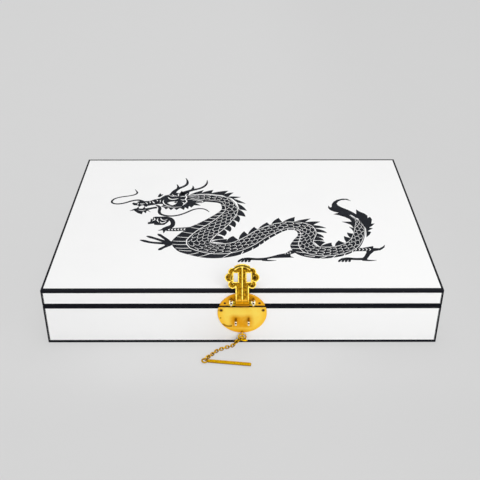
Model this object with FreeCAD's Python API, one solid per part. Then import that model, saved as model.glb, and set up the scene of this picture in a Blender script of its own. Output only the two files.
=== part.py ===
import FreeCAD
import Part
import math
import os

# A flat lacquered case for a mahjong set. White wooden walls carry black edging on every
# outer edge, the lid turns on two stop hinges at the back, and a round brass clasp at the
# front shuts it: a hasp on the lid drops over two eyes on the base, and a pin on a chain
# goes through the eyes. Five drawers for tiles and counters stand inside and lift out.
#
# Millimetres. X runs to the right as seen from the front, Y to the back and Z up.
# The origin is the middle of the underside. The lid is shut, the hasp is turned up against
# the lid's front edge, and the chain and its pin lie on the table in front.

Vector = FreeCAD.Vector
X_AXIS, Y_AXIS, Z_AXIS = Vector(1, 0, 0), Vector(0, 1, 0), Vector(0, 0, 1)

# Case
case_width = 360.0
case_depth = 265.0
base_height = 42.0
lid_height = 17.0
seam_gap = 0.4                    # between the base's rim and the lid's rim
wall_thickness = 8.0
base_panel_thickness = 5.0
lid_panel_thickness = 5.0
panel_rabbet = 4.0                # how far the floor and the top reach into the walls
edge_radius = 0.6                 # on every outer edge of the base and of the lid

# Black edging, let into the outer edges
edging_thickness = 1.6
seam_edging_height = 2.6          # on both sides of the seam
outer_edging_height = 2.9         # along the case's foot and its top
lid_front_edging_depth = 3.4
lid_back_edging_depth = 2.0

# Lining
floor_felt_thickness = 1.0
wall_lining_thickness = 1.2
lid_lining_thickness = 1.2
lining_rim_gap = 1.0              # the wall lining stops this far below the rim

# Stop hinges
hinge_inset = 75.0                # from the case's side to a hinge's middle
hinge_length = 40.0
hinge_knuckle_length = 14.0       # the middle knuckle, which turns with the lid
hinge_end_gap = 0.2
hinge_barrel_radius = 2.2
hinge_pin_radius = 0.9
hinge_running_clearance = 0.05
hinge_back_gap = 0.3              # between the barrel and the case's back
hinge_turning_gap = 0.25          # round a knuckle that turns past the other leaf
leaf_thickness = 1.0
leaf_width = 6.0
stop_lip_reach = 5.6              # from the hinge axis to a stop lip's edge
lid_opening_angle = 100.0
stop_angle_spare = 1.0            # the lips meet this far beyond the stated opening
hinge_screw_spacing = 26.0
hinge_screw_inset = 4.0           # from the case's back
hinge_screw_head_radius = 1.6
hinge_screw_radius = 0.8
hinge_screw_length = 7.0

# Round clasp plate, in two halves. Its places are set from the seam's middle.
plate_diameter = 44.6
plate_drop = 7.5                  # from the seam down to the plate's middle
plate_thickness = 1.2
plate_slit = 2.2
plate_edge_chamfer = 0.35
nail_edge_inset = 3.0
nail_head_radius = 0.95
nail_head_height = 0.45
nail_radius = 0.5
nail_length = 6.5
upper_nail_rise = 3.9
lower_nail_drop = 4.0

# Split pins with ring heads: two carry the hasp, two take the lock pin, one holds the chain
eye_outer_radius = 3.55
eye_bore_radius = 1.85
eye_width = 1.8
eye_rounding = 0.5
eye_seat_gap = 0.1
eye_shank_radius = 0.85
leg_radius = 0.65
leg_length = 4.5
leg_room = 0.2
lock_eye_spacing = 11.6
hasp_axis_rise = 7.45
chain_eye_gap = 0.25              # below the tip of the shut hasp
chain_eye_outer_radius = 2.0
chain_eye_bore_radius = 1.2
chain_eye_width = 1.2
chain_eye_rounding = 0.35
chain_eye_shank_radius = 0.55

# Hasp: u across it, v along it from its axis, and w through it. Its back leans on the lid.
rod_clearance = 0.1               # in the eyes
rod_head_step = 0.65
rod_head_width = 0.8
knuckle_clearance = 0.05
strap_width = 12.0
strap_side_gap = 3.0              # from the strap to each eye
window_reach = 22.3               # from the hasp's axis to the middle of its windows
window_side_gap = 1.3             # beside an eye
window_end_gap = 0.4              # above and below an eye
window_frame = 0.8
hasp_closed_gap = 0.3             # between the shut hasp and the plate
hasp_thickness = 2.15
back_relief = 0.4
front_relief = 0.75
rim_width = 1.0
rib_width = 1.1
head_core_radius = 10.0
head_lobes = [(8.7, -6.0, 3.85), (11.3, 0.0, 4.1), (8.8, 4.9, 3.8)]   # u and v from the windows, radius
lip_radius = 13.0
lip_thickness = 2.3
lip_half_width = 7.1
lip_rise = 12.1                   # from the windows' middle to the lip's top
lip_proud = 2.6                   # how far the lip stands out at the back
hasp_rest_gap = 0.15              # between the hasp and the lid's front edge

# Chain and lock pin. Every wire size is the wire's radius.
chain_ring_radius = 3.4
chain_ring_wire = 0.65
ring_play = 0.1                   # between the chain's ring and its eye
link_length = 4.6                 # outside
link_width = 3.4                  # outside
link_wire = 0.4
link_slack = 0.15                 # play from one link to the next
table_gap = 0.05                  # under what lies on the table
last_link_lift = 0.95
pin_ring_radius = 2.4
pin_ring_wire = 0.4
pin_ring_play = 0.25              # in the last link
pin_clearance = 0.25              # in the lock eyes
pin_length = 42.0                 # from the middle of its loop to its tip
pin_loop_radius = 2.5
pin_loop_wire = 0.8
pin_tip_rounding = 0.7
pin_direction = (1.0, -0.13)

# Drawers
drawer_rise = 0.8                 # how far the drawers stand above the base's rim
drawer_board = 3.5
drawer_bottom_thickness = 3.0
drawer_felt_thickness = 0.8
drawer_gap = 1.0
counter_drawer_width = 33.6
scoop_radius = 14.0
scoop_depth = 9.0
ribbon_width = 14.0
ribbon_thickness = 0.6
ribbon_bend_radius = 3.0
ribbon_drop = 5.5                 # from the drawer's top to where the ribbon starts to turn
ribbon_tail = 12.0
partition_thickness = 3.0
partition_height = 26.0
counter_end_length = 57.0         # inside the compartment at each end of the counter drawer

# Places that follow from the sizes above
half_width = case_width / 2
half_depth = case_depth / 2
lid_bottom = base_height + seam_gap
lid_top = lid_bottom + lid_height
inner_half_width = half_width - wall_thickness
inner_half_depth = half_depth - wall_thickness
front_face = -half_depth
front_inner_face = -inner_half_depth
plate_front = front_face - plate_thickness
seam_height = base_height + seam_gap / 2
hinge_axis_y = half_depth + hinge_barrel_radius + hinge_back_gap
hinge_axis = Vector(0, hinge_axis_y, seam_height)
hinge_middles = (-half_width + hinge_inset, half_width - hinge_inset)
plate_centre_height = seam_height - plate_drop
hasp_axis_height = seam_height + hasp_axis_rise
lock_eye_height = hasp_axis_height - window_reach
shut_hasp_tip = lock_eye_height - lip_rise
chain_eye_height = shut_hasp_tip - chain_eye_gap - chain_eye_outer_radius
eye_axis_y = plate_front - eye_outer_radius - eye_seat_gap
chain_eye_y = plate_front - chain_eye_outer_radius - eye_seat_gap
hasp_eye_offset = strap_width / 2 + strap_side_gap + eye_width / 2
hasp_front = eye_outer_radius + eye_seat_gap - hasp_closed_gap
hasp_back = hasp_front - hasp_thickness
rod_radius = eye_bore_radius - rod_clearance
pin_radius = eye_bore_radius - pin_clearance
floor_top = base_panel_thickness + floor_felt_thickness
drawer_top = base_height + drawer_rise
ceiling = lid_top - lid_panel_thickness - lid_lining_thickness


def box(x0, x1, y0, y1, z0, z1):
    return Part.makeBox(x1 - x0, y1 - y0, z1 - z0, Vector(x0, y0, z0))


def cylinder(radius, start, end):
    along = end - start
    return Part.makeCylinder(radius, along.Length, start, along)


def prism(corners, z0, z1):
    points = [Vector(x, y, z0) for x, y in corners]
    return Part.Face(Part.makePolygon(points + points[:1])).extrude(Z_AXIS * (z1 - z0))


def fused(shapes):
    whole = shapes[0].fuse(shapes[1:]) if len(shapes) > 1 else shapes[0]
    return whole.removeSplitter()


def solids(shapes):
    return [solid for shape in shapes for solid in shape.Solids]


# ---- the two boxes: walls, panels and edging

def rounded_block(z0, z1):
    block = box(-half_width, half_width, -half_depth, half_depth, z0, z1)
    return block.makeFillet(edge_radius, block.Edges)


def edging_frame(z0, z1, front, back, side):
    """Four mitred strips that run round the case between two heights."""
    outer = [(-half_width, -half_depth), (half_width, -half_depth),
             (half_width, half_depth), (-half_width, half_depth)]
    inner = [(-half_width + side, -half_depth + front), (half_width - side, -half_depth + front),
             (half_width - side, half_depth - back), (-half_width + side, half_depth - back)]
    strips = []
    for i in range(4):
        j = (i + 1) % 4
        strips.append(prism([outer[i], outer[j], inner[j], inner[i]], z0, z1))
    return strips


def corner_posts(z0, z1):
    posts = []
    for x in (-half_width, half_width - edging_thickness):
        for y in (-half_depth, half_depth - edging_thickness):
            posts.append(box(x, x + edging_thickness, y, y + edging_thickness, z0, z1))
    return posts


def on_block(block, pieces):
    return [piece.common(block) for piece in pieces]


def four_walls(z0, z1, tools):
    """The front and back run the full width, and the sides stand between them."""
    walls = {
        "front": box(-half_width, half_width, -half_depth, -inner_half_depth, z0, z1),
        "back": box(-half_width, half_width, inner_half_depth, half_depth, z0, z1),
        "left": box(-half_width, -inner_half_width, -inner_half_depth, inner_half_depth, z0, z1),
        "right": box(inner_half_width, half_width, -inner_half_depth, inner_half_depth, z0, z1),
    }
    return {name: wall.cut(tools) for name, wall in walls.items()}


def wall_lining(z0, z1):
    """Four cloth-covered cards that line the walls."""
    t = wall_lining_thickness
    w, d = inner_half_width, inner_half_depth
    return [
        box(-w, w, -d, -d + t, z0, z1), box(-w, w, d - t, d, z0, z1),
        box(-w, -w + t, -d + t, d - t, z0, z1), box(w - t, w, -d + t, d - t, z0, z1),
    ]


# ---- hinges

def radial_lip(angle, side):
    """A stop lip that stands out of the barrel at an angle above the horizontal.
    Its meeting face holds the axis's plane, and its thickness lies on one side of it."""
    inner = hinge_barrel_radius - hinge_pin_radius
    y0, y1 = hinge_axis_y + inner, hinge_axis_y + stop_lip_reach
    z0, z1 = sorted((0.0, side * leaf_thickness))
    lip = box(-hinge_length / 2, hinge_length / 2, y0, y1, seam_height + z0, seam_height + z1)
    lip.rotate(hinge_axis, X_AXIS, angle)
    return lip


def along_hinge(radius, x0, x1):
    return cylinder(radius, hinge_axis + Vector(x0, 0, 0), hinge_axis + Vector(x1, 0, 0))


def hinge_leaves():
    """The base's leaf and the lid's leaf, about a hinge's own middle."""
    half = hinge_length / 2
    knuckle = hinge_knuckle_length / 2
    y0 = half_depth - leaf_width
    turning = hinge_barrel_radius + hinge_turning_gap
    stop_angle = (lid_opening_angle + stop_angle_spare) / 2
    outer_spans = [(-half, -knuckle - hinge_end_gap), (knuckle + hinge_end_gap, half)]
    middle_span = (-knuckle, knuckle)

    base_plate = box(-half, half, y0, hinge_axis_y, base_height - leaf_thickness, base_height)
    base_lip = radial_lip(-stop_angle, -1)
    middle_room = along_hinge(turning, -knuckle - hinge_end_gap, knuckle + hinge_end_gap)
    base_leaf = fused([base_plate.cut(middle_room), base_lip.cut(middle_room)]
                      + [along_hinge(hinge_barrel_radius, *span) for span in outer_spans])

    lid_plate = box(-half, half, y0, hinge_axis_y, lid_bottom, lid_bottom + leaf_thickness)
    lid_lip = radial_lip(stop_angle, 1)
    outer_room = [along_hinge(turning, -half - 1, -knuckle), along_hinge(turning, knuckle, half + 1)]
    lid_leaf = fused([lid_plate.cut(outer_room), lid_lip.cut(outer_room),
                      along_hinge(hinge_barrel_radius, *middle_span)])
    tight_bore = along_hinge(hinge_pin_radius, -half, half)
    running_bore = along_hinge(hinge_pin_radius + hinge_running_clearance, -half, half)
    return base_leaf.cut(tight_bore), lid_leaf.cut(running_bore)


def hinge_screw(x, z, direction):
    """A countersunk screw whose head is flush at z, and whose shank runs up or down."""
    y = half_depth - hinge_screw_inset
    head = Part.makeCone(hinge_screw_head_radius, hinge_screw_radius, leaf_thickness,
                         Vector(x, y, z), Z_AXIS * direction)
    shank = cylinder(hinge_screw_radius, Vector(x, y, z), Vector(x, y, z + direction * hinge_screw_length))
    return fused([head, shank])


def hinges():
    base_leaf, lid_leaf = hinge_leaves()
    made = {"base_leaves": [], "lid_leaves": [], "pins": [], "base_screws": [], "lid_screws": []}
    pin = along_hinge(hinge_pin_radius, -hinge_length / 2, hinge_length / 2)
    for middle in hinge_middles:
        place = Vector(middle, 0, 0)
        screw_places = (middle - hinge_screw_spacing / 2, middle + hinge_screw_spacing / 2)
        base_screws = [hinge_screw(x, base_height, -1) for x in screw_places]
        lid_screws = [hinge_screw(x, lid_bottom, 1) for x in screw_places]
        made["base_leaves"].append(base_leaf.translated(place).cut(base_screws))
        made["lid_leaves"].append(lid_leaf.translated(place).cut(lid_screws))
        made["pins"].append(pin.translated(place))
        made["base_screws"] += base_screws
        made["lid_screws"] += lid_screws
    return made


def hinge_mortises():
    """What the leaves take out of the base's rim and the lid's rim."""
    cuts = []
    for middle in hinge_middles:
        x0, x1 = middle - hinge_length / 2, middle + hinge_length / 2
        cuts.append(box(x0, x1, half_depth - leaf_width, half_depth + 1, base_height - leaf_thickness,
                        lid_bottom + leaf_thickness))
    return cuts


# ---- clasp

def clasp_plate(z0, z1):
    """The part of the round plate between two heights, bevelled at the front."""
    centre = Vector(0, front_face, plate_centre_height)
    disc = cylinder(plate_diameter / 2, centre, centre + Vector(0, -plate_thickness, 0))
    part = disc.common(box(-plate_diameter, plate_diameter, plate_front - 1, front_face, z0, z1))
    front_edges = [e for e in part.Edges if all(abs(v.Y - plate_front) < 1e-6 for v in e.Vertexes)]
    return part.makeChamfer(plate_edge_chamfer, front_edges)


def nail(side, z):
    """A round-headed nail on the plate, on a circle a little inside its edge."""
    x = side * math.sqrt((plate_diameter / 2 - nail_edge_inset) ** 2 - (z - plate_centre_height) ** 2)
    face = Vector(x, plate_front, z)
    ball_radius = (nail_head_radius ** 2 + nail_head_height ** 2) / (2 * nail_head_height)
    ball = Part.makeSphere(ball_radius, face + Vector(0, ball_radius - nail_head_height, 0))
    r = nail_head_radius + 1
    head = ball.common(box(x - r, x + r, plate_front - r, plate_front, z - r, z + r))
    return fused([head, cylinder(nail_radius, face, face + Vector(0, nail_length, 0))])


def round_edges(shape):
    return [edge for edge in shape.Edges if len(edge.Vertexes) == 1]


def split_pin(x, z, legs, outer, bore, width, rounding, shank_radius):
    """A split pin: a ring in front of the plate, a shank through the wall, and two legs bent
    apart along the given direction in a recess on the wall's inner side."""
    middle = Vector(x, plate_front - outer - eye_seat_gap, z)
    half = Vector(width / 2, 0, 0)
    ring = cylinder(outer, middle - half, middle + half)
    ring = ring.makeFillet(rounding, round_edges(ring))
    foot = Vector(x, front_inner_face - leg_radius - leg_room / 2, z)
    shank = cylinder(shank_radius, middle + Vector(0, bore, 0), foot)
    both_legs = cylinder(leg_radius, foot - legs * leg_length, foot + legs * leg_length)
    return fused([ring, shank, both_legs]).cut(cylinder(bore, middle - half * 2, middle + half * 2))


def large_eye(x, z, legs):
    return split_pin(x, z, legs, eye_outer_radius, eye_bore_radius, eye_width,
                     eye_rounding, eye_shank_radius)


def small_eye(x, z, legs):
    return split_pin(x, z, legs, chain_eye_outer_radius, chain_eye_bore_radius, chain_eye_width,
                     chain_eye_rounding, chain_eye_shank_radius)


def pin_recess(x, z, legs, shank_radius):
    """Room for a split pin in its wall: the shank's hole and a pocket for the bent legs."""
    reach = legs * (leg_length + leg_room)
    side = leg_radius + leg_room
    y0 = front_inner_face - 2 * leg_radius - leg_room
    pocket = box(x - side - reach.x, x + side + reach.x, y0, front_inner_face,
                 z - side - reach.z, z + side + reach.z)
    hole = cylinder(shank_radius, Vector(x, plate_front, z), Vector(x, front_inner_face, z))
    return [pocket, hole]


def hasp_prism(outline, w0, w1):
    """Stands an outline of u and v up as a block between two depths of the hasp."""
    block = outline.extrude(Z_AXIS * (w1 - w0)).translated(Vector(0, 0, w0))
    block.rotate(Vector(0, 0, 0), X_AXIS, 90)
    return block


def disc_at(u, v, radius):
    return Part.Face(Part.Wire(Part.makeCircle(radius, Vector(u, v, 0))))


def rectangle(u0, u1, v0, v1):
    corners = [Vector(u0, v0, 0), Vector(u1, v0, 0), Vector(u1, v1, 0), Vector(u0, v1, 0)]
    return Part.Face(Part.makePolygon(corners + corners[:1]))


def cloud(inset, w0, w1):
    """The hasp's outline, a strap with a cloud-shaped head, drawn in from its edge by an inset."""
    half_strap = strap_width / 2 - inset
    faces = [rectangle(-half_strap, half_strap, 0, window_reach),
             disc_at(0, window_reach, head_core_radius - inset)]
    for u, v, radius in head_lobes:
        faces += [disc_at(side * u, window_reach + v, radius - inset) for side in (-1, 1)]
    return fused([hasp_prism(face, w0, w1) for face in faces])


def hasp_lean():
    """How far back the hasp leans when its back rests on the lid's rounded front edge."""
    back = front_face - eye_axis_y + edge_radius
    up = lid_top - hasp_axis_height - edge_radius
    beside = hasp_back - hasp_rest_gap - edge_radius
    return math.degrees(math.atan2(back, up) + math.asin(beside / math.hypot(back, up)))


def hasp_windows():
    """The two frames that stand up round the windows, and the windows themselves."""
    across = eye_width / 2 + window_side_gap
    along = eye_outer_radius + window_end_gap
    frames, windows = [], []
    for u in (-lock_eye_spacing / 2, lock_eye_spacing / 2):
        outline = rectangle(u - across - window_frame, u + across + window_frame,
                            window_reach - along - window_frame, window_reach + along + window_frame)
        opening = rectangle(u - across, u + across, window_reach - along,
                            window_reach + along)
        frames.append(hasp_prism(outline, hasp_back, hasp_front))
        windows.append(hasp_prism(opening, hasp_back - lip_proud, hasp_front + 1))
    return frames, windows


def hasp_lip():
    """A thin crescent along the head's top, to lift the hasp by."""
    top = window_reach + lip_rise
    middle = top - lip_radius
    crescent = disc_at(0, middle, lip_radius).cut(disc_at(0, middle - lip_thickness, lip_radius))
    crescent = crescent.common(rectangle(-lip_half_width, lip_half_width, middle, top))
    return hasp_prism(crescent, hasp_back - lip_proud, hasp_front)


def hasp():
    """The hasp about its own axis, upright, and then leant back and set in place."""
    body = cloud(0, hasp_back, hasp_front)
    body = body.cut([cloud(rim_width, hasp_back - 1, hasp_back + back_relief),
                     cloud(rim_width, hasp_front - front_relief, hasp_front + 1)])
    frames, windows = hasp_windows()
    rib = rectangle(-rib_width / 2, rib_width / 2, 0, window_reach + lip_rise - lip_thickness)
    rib = hasp_prism(rib, hasp_back + back_relief, hasp_front)
    half_knuckle = Vector(strap_width / 2, 0, 0)
    knuckle = cylinder(hasp_front, -half_knuckle, half_knuckle)
    bore = cylinder(rod_radius + knuckle_clearance, half_knuckle * -2, half_knuckle * 2)
    whole = fused([body, rib, hasp_lip(), knuckle] + frames).cut(windows + [bore])
    whole.rotate(Vector(0, 0, 0), X_AXIS, -hasp_lean())
    return whole.translated(Vector(0, eye_axis_y, hasp_axis_height))


def hasp_rod():
    """The rod that the hasp turns on, riveted over outside the two eyes."""
    middle = Vector(0, eye_axis_y, hasp_axis_height)
    reach = Vector(hasp_eye_offset + eye_width / 2, 0, 0)
    head = Vector(rod_head_width, 0, 0)
    head_radius = rod_radius + rod_head_step
    return fused([
        cylinder(rod_radius, middle - reach, middle + reach),
        cylinder(head_radius, middle + reach, middle + reach + head),
        cylinder(head_radius, middle - reach - head, middle - reach),
    ])


# ---- chain and lock pin

def link():
    """One oval link, flat, with its length along X."""
    bend = link_bend
    run = link_length / 2 - link_wire - bend
    bends = []
    for side, start in ((1, -90), (-1, 90)):
        half_ring = Part.makeTorus(bend, link_wire, Vector(0, 0, 0), Z_AXIS, -180, 180, 180)
        half_ring.rotate(Vector(0, 0, 0), Z_AXIS, start)
        bends.append(half_ring.translated(Vector(side * run, 0, 0)))
    runs = [cylinder(link_wire, Vector(-run, y, 0), Vector(run, y, 0)) for y in (-bend, bend)]
    return fused(bends + runs)


def set_along(shape, middle, along, roll):
    """Turns a shape whose length is X to lie along a direction, rolled about it, at a place."""
    side = Z_AXIS.cross(along).normalize()
    up = along.cross(side)
    frame = FreeCAD.Matrix(along.x, side.x, up.x, 0, along.y, side.y, up.y, 0,
                           along.z, side.z, up.z, 0, 0, 0, 0, 1)
    turned = shape.copy()
    turned.rotate(Vector(0, 0, 0), X_AXIS, roll)
    turned.transformShape(frame)
    return turned.translated(middle)


link_bend = link_width / 2 - link_wire
link_reach = link_length / 2 - 2 * link_wire       # from a link's middle to its hole's end
link_rest_height = link_bend * math.sin(math.radians(45)) + link_wire + table_gap
ring_drop = chain_eye_bore_radius - chain_ring_wire - ring_play
chain_ring_middle = Vector(0, chain_eye_y, chain_eye_height - ring_drop - chain_ring_radius)
hang_direction = Vector(-0.55, -0.05, -0.83)
hanging_route = [(-4.3, -0.2, 0.46), (-6.2, -0.9, 0.19)]    # x and y from the ring, share of its height
table_route = [(-8.8, -6.2), (-13.1, -8.2), (-18.2, -10.6), (-22.9, -13.5), (-27.1, -18.2), (-30.4, -22.8)]
hanging_links = 4


def chain_route():
    """The line of the links' middles: down from the ring, along the table, up to the pin's ring."""
    foot = chain_ring_middle + Vector(-1, 0, -1).normalize() * chain_ring_radius
    points = [foot + hang_direction * (link_reach - chain_ring_wire - table_gap)]
    for x, y, share in hanging_route:
        height = link_rest_height + (chain_ring_middle.z - link_rest_height) * share
        points.append(Vector(x, chain_eye_y + y, height))
    points += [Vector(x, front_face + y, link_rest_height) for x, y in table_route]
    points[-1].z += last_link_lift
    curve = Part.BSplineCurve()
    curve.interpolate(points)
    return curve


def chain_places():
    """Where each link's middle goes, and which way the chain runs there."""
    curve = chain_route()
    length = curve.length()
    spans = math.ceil(length / (link_reach + link_length / 2 - 2 * link_wire - link_slack))
    middles = []
    for i in range(spans + 1):
        middles.append(curve.value(curve.parameterAtDistance(length * i / spans, curve.FirstParameter)))
    places = []
    for i, middle in enumerate(middles):
        along = (middles[min(i + 1, spans)] - middles[max(i - 1, 0)]).normalize()
        clear_height = link_rest_height + abs(along.z) * link_reach / 2
        places.append((Vector(middle.x, middle.y, max(middle.z, clear_height)), along))
    return places


def chain_links(places):
    """Each link is a quarter turn from the next. They hang square to the case and lie aslant."""
    links = []
    for i, (middle, along) in enumerate(places):
        slant = 45 * min(i / hanging_links, 1)
        roll = slant - 90 * (i % 2)
        links.append(set_along(link(), middle, along, roll))
    return links


nodes = {}


def build_base():
    panel = box(-inner_half_width - panel_rabbet, inner_half_width + panel_rabbet,
                -inner_half_depth - panel_rabbet, inner_half_depth + panel_rabbet, 0, base_panel_thickness)
    t = edging_thickness
    bottom_edging = edging_frame(0, outer_edging_height, t, t, t)
    top_edging = edging_frame(base_height - seam_edging_height, base_height, t, t, t)
    posts = corner_posts(outer_edging_height, base_height - seam_edging_height)
    block = rounded_block(0, base_height)
    fittings = hinges()
    mortises = hinge_mortises()
    recesses = pin_recess(0, chain_eye_height, X_AXIS, chain_eye_shank_radius)
    lock_eyes = []
    for x in (-lock_eye_spacing / 2, lock_eye_spacing / 2):
        lock_eyes.append(large_eye(x, lock_eye_height, Z_AXIS))
        recesses += pin_recess(x, lock_eye_height, Z_AXIS, eye_shank_radius)
    nails = [nail(side, seam_height - lower_nail_drop) for side in (-1, 1)]

    trim = bottom_edging + top_edging + posts
    tools = trim + [panel] + mortises + fittings["base_screws"] + recesses + nails
    walls = four_walls(0, base_height, tools)
    for name, wall in walls.items():
        nodes["base_%s_wall" % name] = [wall]
    nodes["base_floor_panel"] = [panel]
    nodes["base_bottom_edging"] = on_block(block, bottom_edging)
    nodes["base_top_edging"] = [strip.cut(mortises) for strip in on_block(block, top_edging)]
    nodes["base_corner_edging"] = on_block(block, posts)
    nodes["base_floor_felt"] = [box(-inner_half_width, inner_half_width, -inner_half_depth, inner_half_depth,
                                    base_panel_thickness, floor_top)]
    nodes["base_wall_lining"] = wall_lining(floor_top, base_height - lining_rim_gap)
    nodes["hinge_base_leaves"] = fittings["base_leaves"]
    nodes["hinge_base_screws"] = fittings["base_screws"]
    nodes["hinge_pins"] = fittings["pins"]
    lower_plate = clasp_plate(0, seam_height - plate_slit / 2)
    nodes["clasp_lower_plate"] = [lower_plate.cut(recesses + nails)]
    nodes["clasp_lower_nails"] = nails
    nodes["lock_eyes"] = lock_eyes
    nodes["chain_eye"] = [small_eye(0, chain_eye_height, X_AXIS)]


def build_lid():
    t = edging_thickness
    top_edging = edging_frame(lid_top - outer_edging_height, lid_top, lid_front_edging_depth,
                              lid_back_edging_depth, t)
    bottom_edging = edging_frame(lid_bottom, lid_bottom + seam_edging_height, t, t, t)
    posts = corner_posts(lid_bottom + seam_edging_height, lid_top - outer_edging_height)
    panel = fused([
        box(-half_width + t, half_width - t, -half_depth + lid_front_edging_depth,
            half_depth - lid_back_edging_depth, lid_top - outer_edging_height, lid_top),
        box(-inner_half_width - panel_rabbet, inner_half_width + panel_rabbet,
            -inner_half_depth - panel_rabbet, inner_half_depth + panel_rabbet,
            lid_top - lid_panel_thickness, lid_top - outer_edging_height),
    ])
    block = rounded_block(lid_bottom, lid_top)
    fittings = hinges()
    mortises = hinge_mortises()
    recesses, hasp_eyes = [], []
    for x in (-hasp_eye_offset, hasp_eye_offset):
        hasp_eyes.append(large_eye(x, hasp_axis_height, X_AXIS))
        recesses += pin_recess(x, hasp_axis_height, X_AXIS, eye_shank_radius)
    nails = [nail(side, seam_height + upper_nail_rise) for side in (-1, 1)]

    trim = bottom_edging + top_edging + posts
    tools = trim + [panel] + mortises + fittings["lid_screws"] + recesses + nails
    walls = four_walls(lid_bottom, lid_top, tools)
    for name, wall in walls.items():
        nodes["lid_%s_rail" % name] = [wall]
    nodes["lid_top_panel"] = [panel]
    nodes["lid_top_edging"] = on_block(block, top_edging)
    nodes["lid_bottom_edging"] = [strip.cut(mortises) for strip in on_block(block, bottom_edging)]
    nodes["lid_corner_edging"] = on_block(block, posts)
    nodes["lid_ceiling_lining"] = [box(-inner_half_width, inner_half_width, -inner_half_depth,
                                       inner_half_depth, ceiling, lid_top - lid_panel_thickness)]
    nodes["lid_rail_lining"] = wall_lining(lid_bottom + lining_rim_gap, ceiling)
    nodes["hinge_lid_leaves"] = fittings["lid_leaves"]
    nodes["hinge_lid_screws"] = fittings["lid_screws"]
    upper_plate = clasp_plate(seam_height + plate_slit / 2, lid_top)
    nodes["clasp_upper_plate"] = [upper_plate.cut(recesses + nails)]
    nodes["clasp_upper_nails"] = nails
    nodes["hasp_eyes"] = hasp_eyes
    nodes["hasp_rod"] = [hasp_rod()]


def upright_ring(radius, wire, along):
    """A ring that stands on edge, in the plane of a level direction and the vertical."""
    ring = Part.makeTorus(radius, wire)
    ring.rotate(Vector(0, 0, 0), X_AXIS, 90)
    ring.rotate(Vector(0, 0, 0), Z_AXIS, math.degrees(math.atan2(along.y, along.x)))
    return ring


def build_chain():
    jump_ring = upright_ring(chain_ring_radius, chain_ring_wire, X_AXIS)
    nodes["chain_ring"] = [jump_ring.translated(chain_ring_middle)]
    places = chain_places()
    nodes["chain_links"] = chain_links(places)

    # The last ring comes up through the last link and passes under the pin's loop.
    last, along = places[-1]
    onward = Vector(along.x, along.y, 0).normalize()
    ring_height = pin_ring_radius + pin_ring_wire + table_gap
    ring_side = math.sqrt(pin_ring_radius ** 2 - (ring_height - last.z) ** 2)
    ring_middle = last + onward * (link_reach - pin_ring_wire - pin_ring_play + ring_side)
    ring_middle.z = ring_height
    nodes["pin_ring"] = [upright_ring(pin_ring_radius, pin_ring_wire, onward).translated(ring_middle)]

    loop_middle = ring_middle + onward * pin_loop_radius
    loop_middle.z = table_gap + max(pin_radius, 2 * pin_ring_wire + table_gap + pin_loop_wire)
    loop = Part.makeTorus(pin_loop_radius, pin_loop_wire).translated(loop_middle)
    direction = Vector(*pin_direction, 0).normalize()
    tip = loop_middle + direction * pin_length
    shaft = cylinder(pin_radius, loop_middle + direction * pin_loop_radius, tip)
    shaft = shaft.makeFillet(pin_tip_rounding, round_edges(shaft))
    nodes["lock_pin"] = [fused([loop, shaft])]


def drawer(place, x0, x1, y0, y1):
    """Four boards, a bottom, a felt and a pull ribbon, standing on the case's felt."""
    z0, z1 = floor_top, drawer_top
    b = drawer_board
    middle = (x0 + x1) / 2
    radius = min(scoop_radius, (x1 - x0) / 2 - 2 * b)
    scoop_z = z1 + radius - scoop_depth
    scoop = cylinder(radius, Vector(middle, y0, scoop_z), Vector(middle, y1, scoop_z))
    boards = []
    for y in (y0, y1 - b):
        boards.append(box(x0, x1, y, y + b, z0, z1).cut(scoop))
    for x in (x0, x1 - b):
        boards.append(box(x, x + b, y0 + b, y1 - b, z0, z1))
    nodes[place + "_drawer_sides"] = boards
    inside = (x0 + b, x1 - b, y0 + b, y1 - b)
    felt_top = z0 + drawer_bottom_thickness + drawer_felt_thickness
    nodes[place + "_drawer_bottom"] = [box(*inside, z0, z0 + drawer_bottom_thickness)]
    nodes[place + "_drawer_felt"] = [box(*inside, z0 + drawer_bottom_thickness, felt_top)]
    nodes[place + "_drawer_ribbon"] = [ribbon(middle, y0 + b, felt_top, z1 - ribbon_drop)]
    return inside, felt_top


def ribbon(x, y, z0, z1):
    """A pull ribbon: up the front board's inner face, over in a bend, and down to a loose tail."""
    outer, inner = ribbon_bend_radius, ribbon_bend_radius - ribbon_thickness
    start = x - ribbon_width / 2
    centre = Vector(start, y + outer, z1)
    across = Vector(ribbon_width, 0, 0)
    bend = cylinder(outer, centre, centre + across).cut(cylinder(inner, centre, centre + across))
    bend = bend.common(box(start, start + ribbon_width, y, y + 2 * outer, z1, z1 + outer))
    rise = box(start, start + ribbon_width, y, y + ribbon_thickness, z0, z1)
    tail = box(start, start + ribbon_width, y + outer + inner, y + 2 * outer, z1 - ribbon_tail, z1)
    return fused([rise, bend, tail])


def build_drawers():
    w = inner_half_width - wall_lining_thickness - drawer_gap
    d = inner_half_depth - wall_lining_thickness - drawer_gap
    counter_half = counter_drawer_width / 2
    columns = {"left": (-w, -counter_half - drawer_gap), "right": (counter_half + drawer_gap, w)}
    rows = {"front": (-d, -drawer_gap / 2), "back": (drawer_gap / 2, d)}
    for row, (y0, y1) in rows.items():
        for column, (x0, x1) in columns.items():
            drawer(row + "_" + column, x0, x1, y0, y1)
    inside, felt_top = drawer("counter", -counter_half, counter_half, -d, d)
    x0, x1, y0, y1 = inside
    nodes["counter_drawer_partitions"] = [
        box(x0, x1, y, y + partition_thickness, felt_top, felt_top + partition_height)
        for y in (y0 + counter_end_length, y1 - counter_end_length - partition_thickness)]


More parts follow.
